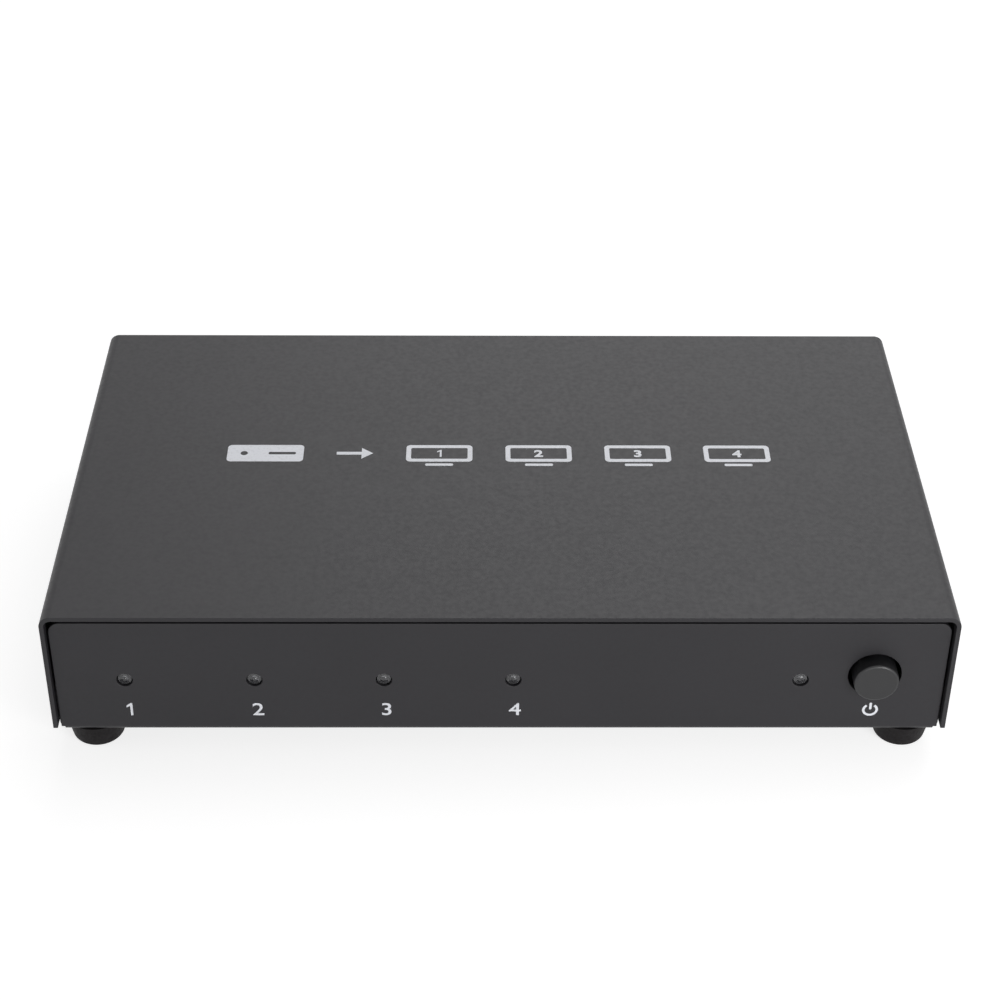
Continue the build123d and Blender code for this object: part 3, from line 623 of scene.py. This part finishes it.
class SplitterStage(bpy.types.PropertyGroup):
    floor: colour_of("Floor", "Colour of the floor", (0.55, 0.55, 0.55))
    floor_size: length_of("Floor size", "Side of the square floor", 12.0)
    lens: FloatProperty(
        name="Lens",
        description="Focal length in millimetres on a sensor 36 mm wide",
        default=79.137,
    )
    place: FloatVectorProperty(
        name="Camera place",
        description="Where the camera stands",
        subtype="TRANSLATION",
        unit="LENGTH",
        default=(-5.195 * MM, -404.31 * MM, 322.546 * MM),
    )
    pitch: angle_of("Pitch", "How far the camera looks down", math.radians(36.038))
    yaw: angle_of("Yaw", "How far the camera looks to the right", math.radians(0.775))
    roll: angle_of("Roll", "How far the camera leans", math.radians(0.518))
    key_power: power_of("Overhead light", "Power of the soft light over the splitter", 3.8)
    fill_power: power_of("Front light", "Power of the soft light in front of the splitter", 3.3)
    back_power: power_of("Back light", "Power of the soft light behind the splitter", 1.8)
    side_power: power_of(
        "Side lights", "Power of the low soft light on each side of the splitter", 1.0
    )
    world_strength: FloatProperty(
        name="Surroundings",
        description="Strength of the light from all round",
        default=0.2,
    )


GROUPS = {
    "splitter_case": SplitterCase,
    "splitter_print": SplitterPrint,
    "splitter_lamps": SplitterLamps,
    "splitter_board": SplitterBoard,
    "splitter_stage": SplitterStage,
}


class SPLITTER_OT_case(bpy.types.Operator):
    """Paint the cover and the tray, and blacken the cover's screws"""

    bl_idname = "splitter.case"
    bl_label = "Case"

    def execute(self, context):
        sizes = context.scene.splitter_case
        dress("case_paint", painted("Black powder coat", tuple(sizes.paint), sizes.paint_roughness))
        dress("dark_screw", plated("Black screw plating", tuple(sizes.screw), 0.42))
        dress("zinc_screw", plated("Zinc plating", tone(196, 197, 200), 0.3))
        dress("standoff_brass", plated("Turned brass", tone(205, 172, 104), 0.28, (1.0, 1.0, 0.1)))
        return {"FINISHED"}


class SPLITTER_OT_feet(bpy.types.Operator):
    """Give the feet their rubber"""

    bl_idname = "splitter.feet"
    bl_label = "Rubber feet"

    def execute(self, context):
        dress("foot_rubber", rubbery("Foot rubber", tuple(context.scene.splitter_case.rubber), 0.62))
        return {"FINISHED"}


class SPLITTER_OT_front_print(bpy.types.Operator):
    """Print a number under each port's lamp and a power sign under the button"""

    bl_idname = "splitter.front_print"
    bl_label = "Front print"

    def execute(self, context):
        sizes = context.scene.splitter_print
        ink = printed("White ink", tuple(sizes.ink))
        level = TRAY_LOW.z + sizes.figure_level
        face = TRAY_LOW.y - sizes.ink_thickness / 2
        height = sizes.figure_height / MM
        thickness = sizes.ink_thickness / MM
        for port in range(PORTS):
            number = str(port + 1)
            shape = figure(number, height, sizes.figure_weight / MM, thickness)
            mesh = joined(f"port_number_{number}", [shape])
            x = middle(f"port_led_{number}").x + FIGURE_SHIFT * MM
            set_print(mesh, on_front(x, level, face), ink)
        stroke, ring_drop, bar_length, corner_rest = 0.55, 0.15, 1.9, 0.01
        ring_start, ring_end = 125.0, 415.0
        radius = (sizes.sign_height / MM - stroke) / 2
        sign = [
            arc_band(0.0, -ring_drop, radius, stroke, ring_start, ring_end),
            rounded_box(0.0, radius - stroke, stroke, bar_length, stroke / 2 - corner_rest),
        ]
        mesh = joined("power_sign", [inked("power_sign", sign, thickness)])
        set_print(mesh, on_front(middle("power_button").x, level, face), ink)
        return {"FINISHED"}


# Shares and sizes in the cover's print, in millimetres
SOURCE_SHARE = 1.15
ARROW_SHARE = 0.55
STAND_SHARE = 0.2
CORNER_SHARE = 0.9
SCREEN_MARGIN_SHARE = 3.4
SCREEN_FIGURE_WEIGHT = 0.1
ARROW_HEAD_LENGTH = 2.6
ARROW_HEAD_HALF = 2.1


class SPLITTER_OT_cover_print(bpy.types.Operator):
    """Print a source box and four numbered screens on the cover"""

    bl_idname = "splitter.cover_print"
    bl_label = "Cover print"

    def execute(self, context):
        sizes = context.scene.splitter_print
        ink = printed("White cover ink", tuple(sizes.ink))
        thickness = sizes.ink_thickness / MM
        width, depth = sizes.band_width / MM, sizes.band_depth / MM
        stroke = sizes.stroke / MM
        screen = sizes.screen_width / MM
        source_width = screen * SOURCE_SHARE
        arrow_length = screen * ARROW_SHARE
        gap = (width - source_width - PORTS * screen - arrow_length) / (PORTS + 1)
        stand = depth * STAND_SHARE
        body = depth - stand
        first = -width / 2 + source_width + 2 * gap + arrow_length + screen / 2
        tree = Tree("Numbered screens")
        screen_width = tree.input("Screen width", screen)
        screen_height = tree.input("Screen height", body)
        line = tree.input("Stroke", stroke)
        rise = tree.input("Ink thickness", thickness)
        corner = tree.input("Corner radius", stroke * CORNER_SHARE)
        stand_height = tree.input("Stand height", stand)
        pitch = tree.input("Pitch", screen + gap)
        start = tree.input("First place", first)
        count = tree.input("Count", PORTS, "NodeSocketInt")
        outer = tree.frame_outline(screen_width, screen_height, corner)
        inner = tree.frame_outline(
            tree.sum("SUBTRACT", screen_width, tree.times(line, 2.0)),
            tree.sum("SUBTRACT", screen_height, tree.times(line, 2.0)),
            tree.times(corner, 0.4),
        )
        bezel = tree.slab([outer, inner], rise)
        foot = tree.slab(
            [
                tree.frame_outline(
                    tree.times(screen_width, 0.42),
                    tree.times(line, 0.8),
                    tree.times(line, 0.3),
                )
            ],
            rise,
        )
        drop = tree.sum("ADD", tree.times(screen_height, 0.5), stand_height)
        low = tree.sum("SUBTRACT", tree.times(line, 0.4), drop)
        foot = tree.moved(foot, tree.vector(y=low))
        shape = tree.join([bezel, foot])
        points = tree.row(count, tree.vector(x=start), tree.vector(x=pitch))
        screens = tree.run("screens", tree.copies(shape, points), ink.material)
        screens.transform(Matrix.Translation((0.0, stand / 2, -thickness / 2)))
        meshes = [screens]
        for port in range(PORTS):
            height = body - SCREEN_MARGIN_SHARE * stroke
            number = figure(str(port + 1), height, SCREEN_FIGURE_WEIGHT, thickness)
            number.transform(Matrix.Translation((first + port * (screen + gap), stand / 2, 0.0)))
            meshes.append(number)
        box_x = -width / 2 + source_width / 2
        slit_x, button_x = box_x + source_width * 0.22, box_x - source_width * 0.28
        thick = stroke * CORNER_SHARE
        box = [
            rounded_box(box_x, stand / 2, source_width, body, thick),
            rounded_box(slit_x, stand / 2, source_width * 0.36, thick, 0.4),
            disc(button_x, stand / 2, stroke * 0.75),
        ]
        tail_x = -width / 2 + source_width + gap
        tip_x = tail_x + arrow_length
        head_x = tip_x - ARROW_HEAD_LENGTH
        level, half = stand / 2, stroke / 2
        arrow = [
            (tail_x, level + half),
            (tail_x, level - half),
            (head_x, level - half),
            (head_x, level - ARROW_HEAD_HALF),
            (tip_x, level),
            (head_x, level + ARROW_HEAD_HALF),
            (head_x, level + half),
        ]
        meshes.append(inked("source_box", box, thickness))
        meshes.append(inked("arrow", [arrow], thickness))
        mesh = joined("cover_pictogram", meshes)
        band_y = COVER_LOW.y + sizes.band_start + sizes.band_depth / 2
        set_print(mesh, on_top(0.0, band_y, COVER_HIGH.z + sizes.ink_thickness / 2), ink)
        return {"FINISHED"}


REAR_SIGN_RISE = 2.6 * MM
REAR_SIGN_SHARE = 0.85


class SPLITTER_OT_rear_print(bpy.types.Operator):
    """Print numbers over the output sockets, and signs over the input and the power inlet"""

    bl_idname = "splitter.rear_print"
    bl_label = "Rear print"

    def execute(self, context):
        sizes = context.scene.splitter_print
        ink = printed("White rear ink", tuple(sizes.ink))
        thickness = sizes.ink_thickness / MM
        face = TRAY_HIGH.y + sizes.ink_thickness / 2
        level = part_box("dc_jack_body")[1].z + REAR_SIGN_RISE
        height = sizes.figure_height / MM * REAR_SIGN_SHARE
        signs = []
        for port in range(PORTS):
            number = figure(str(port + 1), height, sizes.figure_weight / MM, thickness)
            signs.append((f"output_number_{port + 1}", [number], f"{SOCKETS[port]}_shell"))
        half = height / 2
        inward = [
            [(-half, half * 0.7), (half, half * 0.7), (0.0, -half * 0.7)],
            rounded_box(0.0, -half, height, 0.4, 0.15),
        ]
        signs.append(("input_sign", [inked("input_sign", inward, thickness)], "input_socket_shell"))
        stroke = 0.35
        polarity = [
            arc_band(0.0, 0.0, half * 0.8, stroke, 40.0, 320.0),
            disc(0.0, 0.0, 0.42),
            rounded_box(1.3, 0.0, 1.5, stroke, 0.1),
            rounded_box(-2.2, 0.0, 1.3, stroke, 0.1),
            rounded_box(3.4, 0.0, 1.3, stroke, 0.1),
            rounded_box(3.4, 0.45, stroke, 0.5, 0.05),
            rounded_box(3.4, -0.45, stroke, 0.5, 0.05),
            rounded_box(-3.9, 0.0, 1.3, stroke, 0.1),
        ]
        signs.append(("inlet_sign", [inked("inlet_sign", polarity, thickness)], "dc_jack_body"))
        for name, meshes, below in signs:
            set_print(joined(name, meshes), on_rear(middle(below).x, level, face), ink)
        return {"FINISHED"}


CUP_SIDES = 24
LAMP_BACK_WALL = 0.3 * MM


class SPLITTER_OT_lamps(bpy.types.Operator):
    """Clear the lamps' lenses and put a reflector cup on two posts in each"""

    bl_idname = "splitter.lamps"
    bl_label = "Lamps"

    def execute(self, context):
        sizes = context.scene.splitter_lamps
        dress("lamp_lens", clear_epoxy("Lamp epoxy", tuple(sizes.lens)))
        silver = plated("Silvered lamp frame", tone(205, 206, 210), 0.22)
        low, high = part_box(LAMPS[0])
        tips = [Vector((middle(name).x, low.y, middle(name).z)) for name in LAMPS]
        tree = Tree("Lamp frames")
        radius = tree.input("Cup radius", sizes.cup_radius)
        depth = tree.input("Cup depth", sizes.cup_depth)
        setback = tree.input("Cup setback", sizes.cup_setback)
        post = tree.input("Post width", sizes.post_width)
        length = tree.input("Lamp length", high.y - low.y - LAMP_BACK_WALL)
        cone = tree.add(
            "GeometryNodeMeshCone",
            {"fill_type": "NONE"},
            Vertices=CUP_SIDES,
            Radius_Top=tree.times(radius, 0.45),
            Radius_Bottom=radius,
            Depth=depth,
        )
        floor = tree.add(
            "GeometryNodeMeshCylinder",
            Vertices=CUP_SIDES,
            Radius=radius,
            Depth=tree.times(depth, 0.3),
        )
        wall = tree.add(
            "GeometryNodeMeshCylinder",
            {"fill_type": "NONE"},
            Vertices=CUP_SIDES,
            Radius=radius,
            Depth=depth,
        )
        turned = []
        for part, back in ((cone, 0.5), (wall, 0.5), (floor, 1.15)):
            place = tree.vector(y=tree.sum("ADD", setback, tree.times(depth, back)))
            turned.append(tree.moved(part, place, (-math.pi / 2, 0.0, 0.0)))
        cup_back = tree.sum("ADD", setback, tree.times(depth, 1.2))
        run = tree.sum("SUBTRACT", length, cup_back)
        middle_y = tree.sum("ADD", cup_back, tree.times(run, 0.5))
        anvil_size = tree.vector(tree.times(post, 2.0), run, post)
        anvil = tree.box(anvil_size, tree.vector(y=middle_y))
        side = tree.times(post, 2.1)
        wire_post = tree.box(tree.vector(post, run, post), tree.vector(x=side, y=middle_y))
        shape = tree.join([*turned, anvil, wire_post])
        base = point_mesh("lamp_tips", tips)
        mesh = tree.run("lamp_frames", tree.copies(shape), silver.material, base)
        piece("lamp_frames", mesh)
        dress("tinned_leads", plated("Tinned copper", tone(208, 209, 212), 0.32))
        return {"FINISHED"}


class SPLITTER_OT_button(bpy.types.Operator):
    """Finish the power button, its plunger and the switch behind it"""

    bl_idname = "splitter.button"
    bl_label = "Power button and switch"

    def execute(self, context):
        cap = moulded("Button plastic", tone(26, 26, 28), 0.36, 0.3 * MM)
        cap.set("Specular IOR Level", 0.52)
        dress("button_plastic", cap)
        dress("switch_plastic", moulded("Switch plastic", tone(30, 30, 31), 0.5))
        dress("plunger_plastic", moulded("White plunger plastic", tone(222, 221, 214), 0.4))
        dress("spring_steel", plated("Spring wire", tone(186, 187, 190), 0.25))
        return {"FINISHED"}


class SPLITTER_OT_sockets(bpy.types.Operator):
    """Finish the sockets' shells, tongues and contacts"""

    bl_idname = "splitter.sockets"
    bl_label = "Video sockets"

    def execute(self, context):
        dress("socket_steel", plated("Socket steel", tone(188, 188, 190), 0.3, (1.0, 14.0, 1.0)))
        dress("socket_plastic", moulded("Socket plastic", tone(28, 28, 29), 0.45))
        dress("contact_gold", plated("Gold flash", tone(222, 184, 96), 0.22, (1.0, 10.0, 1.0)))
        return {"FINISHED"}


class SPLITTER_OT_inlet(bpy.types.Operator):
    """Finish the power inlet"""

    bl_idname = "splitter.inlet"
    bl_label = "Power inlet"

    def execute(self, context):
        dress("jack_plastic", moulded("Inlet plastic", tone(32, 32, 33), 0.42))
        dress("jack_metal", plated("Inlet nickel", tone(178, 176, 172), 0.24, (1.0, 8.0, 1.0)))
        return {"FINISHED"}


# Details of the board
SOLDER_SIDES = 20
VIA_SIDES = 16
VIA_INSET = 14 * MM
VIA_ROW_OFFSETS = (-17 * MM, 19 * MM)
END_CAP_LENGTH = 0.3 * MM


class SPLITTER_OT_board(bpy.types.Operator):
    """Finish the board, and put solder on its joints and rows of plated holes on it"""

    bl_idname = "splitter.board"
    bl_label = "Circuit board"

    def execute(self, context):
        sizes = context.scene.splitter_board
        dress("board_laminate", solder_mask("Solder mask", tuple(sizes.mask)))
        solder = plated("Solder", tone(192, 194, 196), 0.3)
        through = [f"{name}_shell" for name in SOCKETS]
        through += ["led_leads", "power_switch_pins", "dc_jack_pin", "dc_jack_spring"]
        spots = [spot for name in through for spot in low_spots(name)]
        level = BOARD_LOW.z
        points = point_mesh("joints", [(spot.x, spot.y, level) for spot in spots])
        tree = Tree("Solder joints")
        radius = tree.input("Radius", sizes.solder_radius)
        height = tree.input("Height", sizes.solder_height)
        rim_share, shoulder_share, tip_share = 0.35, 0.62, 0.36
        rim = tree.add(
            "GeometryNodeMeshCone",
            Vertices=SOLDER_SIDES,
            Side_Segments=1,
            Radius_Top=radius,
            Radius_Bottom=tree.times(radius, shoulder_share),
            Depth=tree.times(height, rim_share),
        )
        rim = tree.moved(rim, tree.vector(z=tree.times(height, -rim_share)))
        tip = tree.add(
            "GeometryNodeMeshCone",
            Vertices=SOLDER_SIDES,
            Radius_Top=tree.times(radius, shoulder_share),
            Radius_Bottom=tree.times(radius, tip_share),
            Depth=tree.times(height, 1 - rim_share),
        )
        tip = tree.moved(tip, tree.vector(z=tree.times(height, -1.0)))
        shape = tree.join([rim, tip])
        mesh = tree.run("solder_joints", tree.copies(shape), solder.material, points)
        piece("solder_joints", mesh)
        self.add_vias(sizes, solder)
        return {"FINISHED"}

    def add_vias(self, sizes, solder):
        """Rows of plated holes in front of the splitter chip and behind it, as flat rings."""
        tree = Tree("Plated holes")
        outer = tree.input("Ring radius", 0.45 * MM)
        inner = tree.input("Hole radius", 0.2 * MM)
        rise = tree.input("Ring height", 0.03 * MM)
        count = tree.input("Count", sizes.via_count, "NodeSocketInt")
        span = BOARD_HIGH.x - BOARD_LOW.x - 2 * VIA_INSET
        step = tree.input("Pitch", span / (sizes.via_count - 1))
        chip_y = middle("splitter_chip").y
        rows = []
        for offset in VIA_ROW_OFFSETS:
            start = (BOARD_LOW.x + VIA_INSET, chip_y + offset, BOARD_HIGH.z)
            rows.append(tree.row(count, start, tree.vector(x=step)))
        ring = tree.slab(
            [
                tree.add("GeometryNodeCurvePrimitiveCircle", Resolution=VIA_SIDES, Radius=radius)
                for radius in (outer, inner)
            ],
            rise,
        )
        points = tree.join(rows)
        mesh = tree.run("plated_holes", tree.copies(ring, points), solder.material)
        piece("plated_holes", mesh)


class SPLITTER_OT_board_parts(bpy.types.Operator):
    """Finish the chips, the heat sink, the capacitors and the other parts on the board"""

    bl_idname = "splitter.board_parts"
    bl_label = "Board parts"

    def execute(self, context):
        dress("chip_epoxy", moulded("Chip epoxy", tone(40, 40, 42), 0.55, 0.12 * MM))
        dress("thermal_rubber", rubbery("Thermal pad", tone(140, 146, 156), 0.7))
        dress("sink_aluminium", plated("Black anodising", tone(48, 48, 50), 0.45, (1.0, 16.0, 1.0)))
        dress("can_aluminium", plated("Drawn can", tone(198, 199, 202), 0.28, (1.0, 1.0, 12.0)))
        dress("crystal_can", plated("Crystal can", tone(196, 195, 190), 0.3))
        dress("inductor_ferrite", ceramic("Ferrite", tone(62, 62, 64)))
        dress("small_ceramic", ceramic("Fired ceramic", tone(150, 122, 92)))
        self.add_end_caps()
        return {"FINISHED"}

    def add_end_caps(self):
        """Tinned ends on the small capacitors and resistors."""
        tin = plated("Tinned ends", tone(206, 207, 210), 0.35)
        for node_name, along in (("small_capacitors", 0), ("small_resistors", 1)):
            solids = self.solids(node_name)
            low, high = solids[0]
            size = high - low
            places = []
            for low, high in solids:
                for end, inwards in ((low, 1), (high, -1)):
                    place = (low + high) / 2
                    place[along] = end[along] + inwards * END_CAP_LENGTH / 2
                    places.append(place)
            size[along] = END_CAP_LENGTH
            tree = Tree("End caps")
            grow = tree.input("Plating", 0.02 * MM)
            span = [tree.sum("ADD", tree.times(grow, 2.0), side) for side in size]
            block = tree.add("GeometryNodeMeshCube", Size=tree.vector(*span))
            name = f"{node_name}_ends"
            mesh = tree.run(name, tree.copies(block), tin.material, point_mesh(name, places))
            piece(name, mesh)

    def solids(self, node_name):
        """Boxes of a CAD node's separate solids."""
        work = bmesh.new()
        work.from_mesh(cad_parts[node_name].data)
        bmesh.ops.remove_doubles(work, verts=work.verts, dist=0.001 * MM)
        left = set(work.verts)
        boxes = []
        while left:
            todo = [left.pop()]
            found = []
            while todo:
                vertex = todo.pop()
                found.append(vertex.co.copy())
                for edge in vertex.link_edges:
                    other = edge.other_vert(vertex)
                    if other in left:
                        left.remove(other)
                        todo.append(other)
            low = Vector([min(co[axis] for co in found) for axis in range(3)])
            high = Vector([max(co[axis] for co in found) for axis in range(3)])
            boxes.append((low, high))
        work.free()
        return sorted(boxes, key=lambda box: tuple(box[0]))


# Each soft light: name, place from the splitter's middle, width and height, and its power's name
SOFT_BOXES = [
    ("overhead_light", (0.2, 0.45, 0.95), (1.0, 1.0), "key_power"),
    ("front_light", (0.1, -1.15, 0.24), (1.2, 0.4), "fill_power"),
    ("back_light", (0.2, 1.0, 0.62), (0.8, 0.8), "back_power"),
    ("left_light", (-1.1, -0.2, 0.16), (0.5, 0.25), "side_power"),
    ("right_light", (0.3, -0.42, 0.15), (0.2, 0.2), "side_power"),
]

# The floor's lift near the splitter and far off, and where each holds, in metres
NEAR_LIFT, FAR_LIFT = 0.74, 1.0
NEAR_FLOOR, FAR_FLOOR = 0.3, 1.0

SENSOR_WIDTH = 36.0
CLIP_START = 0.01


def seen_by(tree, *kinds):
    """A factor that is 1 for rays of these kinds and 0 for others."""
    rays = tree.nodes.new("ShaderNodeLightPath").outputs
    seen = rays[kinds[0]]
    for kind in kinds[1:]:
        either = tree.nodes.new("ShaderNodeMath")
        either.operation = "MAXIMUM"
        tree.links.new(seen, either.inputs[0])
        tree.links.new(rays[kind], either.inputs[1])
        seen = either.outputs[0]
    return seen


class SPLITTER_OT_stage(bpy.types.Operator):
    """Lay the floor, set the lights and stand the camera"""

    bl_idname = "splitter.stage"
    bl_label = "Stage"

    def execute(self, context):
        sizes = context.scene.splitter_stage
        self.lay_floor(sizes)
        self.light(sizes)
        self.stand_camera(context.scene, sizes)
        context.scene.view_settings.view_transform = "Standard"
        return {"FINISHED"}

    def lay_floor(self, sizes):
        half = sizes.floor_size / 2
        mesh = bpy.data.meshes.new("floor")
        corners = [(-half, -half, 0.0), (half, -half, 0.0), (half, half, 0.0), (-half, half, 0.0)]
        mesh.from_pydata(corners, [], [(0, 1, 2, 3)])
        floor = linked("floor", mesh)
        mesh.materials.append(self.floor_finish(tuple(sizes.floor)))

    def floor_finish(self, colour):
        """Pale floor, lifted towards white for the camera and more so far off; its shadow stays."""
        finish = Finish("Pale floor", colour, 0.9)
        finish.set("Specular IOR Level", 0.0)
        finish.vary_roughness(finish.noise(5 * MM), 0.85, 0.95)
        seen = seen_by(finish.material.node_tree, "Is Camera Ray", "Is Glossy Ray")
        reach = finish.add("ShaderNodeVectorMath", Vector=finish.place)
        reach.operation = "LENGTH"
        share = finish.spread(reach.outputs["Value"], NEAR_LIFT, FAR_LIFT, NEAR_FLOOR, FAR_FLOOR)
        lift = finish.add("ShaderNodeMath", Value=share)
        lift.operation = "MULTIPLY"
        finish.links.new(seen, lift.inputs[1])
        finish.set("Emission Color", (1.0, 1.0, 1.0, 1.0))
        finish.links.new(lift.outputs[0], finish.shader.inputs["Emission Strength"])
        return finish.material

    def light(self, sizes):
        centre = (CAD_BOX[0] + CAD_BOX[1]) / 2
        for name, place, (width, height), power in SOFT_BOXES:
            offset = Vector(place)
            lamp = bpy.data.lights.new(name, "AREA")
            lamp.shape = "RECTANGLE"
            lamp.size = width
            lamp.size_y = height
            lamp.energy = getattr(sizes, power)
            stand = linked(name, lamp)
            stand.location = centre + offset
            stand.rotation_euler = (-offset).to_track_quat("-Z", "Y").to_euler()
        world = bpy.data.worlds.new("Studio")
        bpy.context.scene.world = world
        world.use_nodes = True
        sky = world.node_tree.nodes["Background"]
        sky.inputs["Color"].default_value = (1.0, 1.0, 1.0, 1.0)
        tree = world.node_tree
        seen = seen_by(tree, "Is Camera Ray", "Is Transmission Ray", "Is Glossy Ray")
        strength = tree.nodes.new("ShaderNodeMapRange")
        strength.inputs["To Min"].default_value = sizes.world_strength
        strength.inputs["To Max"].default_value = 1.0
        tree.links.new(seen, strength.inputs["Value"])
        tree.links.new(strength.outputs["Result"], sky.inputs["Strength"])

    def stand_camera(self, scene, sizes):
        pitch, yaw, roll = sizes.pitch, sizes.yaw, sizes.roll
        ahead = Vector(
            (math.sin(yaw) * math.cos(pitch), math.cos(yaw) * math.cos(pitch), -math.sin(pitch))
        )
        right = ahead.cross(Vector((0.0, 0.0, 1.0))).normalized()
        above = right.cross(ahead)
        leaning_right = math.cos(roll) * right + math.sin(roll) * above
        leaning_up = math.cos(roll) * above - math.sin(roll) * right
        turn = Matrix((leaning_right, leaning_up, -ahead)).transposed()
        camera = bpy.data.cameras.new("camera")
        camera.sensor_width = SENSOR_WIDTH
        camera.lens = sizes.lens
        camera.clip_start = CLIP_START
        stand = linked("camera", camera)
        stand.matrix_world = Matrix.Translation(sizes.place) @ turn.to_4x4()
        scene.camera = stand


OPERATORS = [
    SPLITTER_OT_stage,
    SPLITTER_OT_case,
    SPLITTER_OT_feet,
    SPLITTER_OT_front_print,
    SPLITTER_OT_cover_print,
    SPLITTER_OT_rear_print,
    SPLITTER_OT_lamps,
    SPLITTER_OT_button,
    SPLITTER_OT_sockets,
    SPLITTER_OT_inlet,
    SPLITTER_OT_board,
    SPLITTER_OT_board_parts,
]


class SPLITTER_PT_panel(bpy.types.Panel):
    """Lists the splitter's sizes, colours and pieces"""

    bl_idname = "SPLITTER_PT_panel"
    bl_label = "Video splitter"
    bl_space_type = "VIEW_3D"
    bl_region_type = "UI"
    bl_category = "Splitter"

    def draw(self, context):
        for name in GROUPS:
            group = getattr(context.scene, name)
            box = self.layout.box()
            for key in group.__annotations__:
                box.prop(group, key)
        for operator in OPERATORS:
            self.layout.operator(operator.bl_idname)


def register():
    for group in GROUPS.values():
        bpy.utils.register_class(group)
    for name, group in GROUPS.items():
        setattr(bpy.types.Scene, name, PointerProperty(type=group))
    for operator in OPERATORS:
        bpy.utils.register_class(operator)
    bpy.utils.register_class(SPLITTER_PT_panel)


def unregister():
    bpy.utils.unregister_class(SPLITTER_PT_panel)
    for operator in reversed(OPERATORS):
        bpy.utils.unregister_class(operator)
    for name, group in GROUPS.items():
        delattr(bpy.types.Scene, name)
        bpy.utils.unregister_class(group)


def main():
    register()
    for operator in OPERATORS:
        group, name = operator.bl_idname.split(".")
        getattr(getattr(bpy.ops, group), name)()


if __name__ == "__main__":
    main()
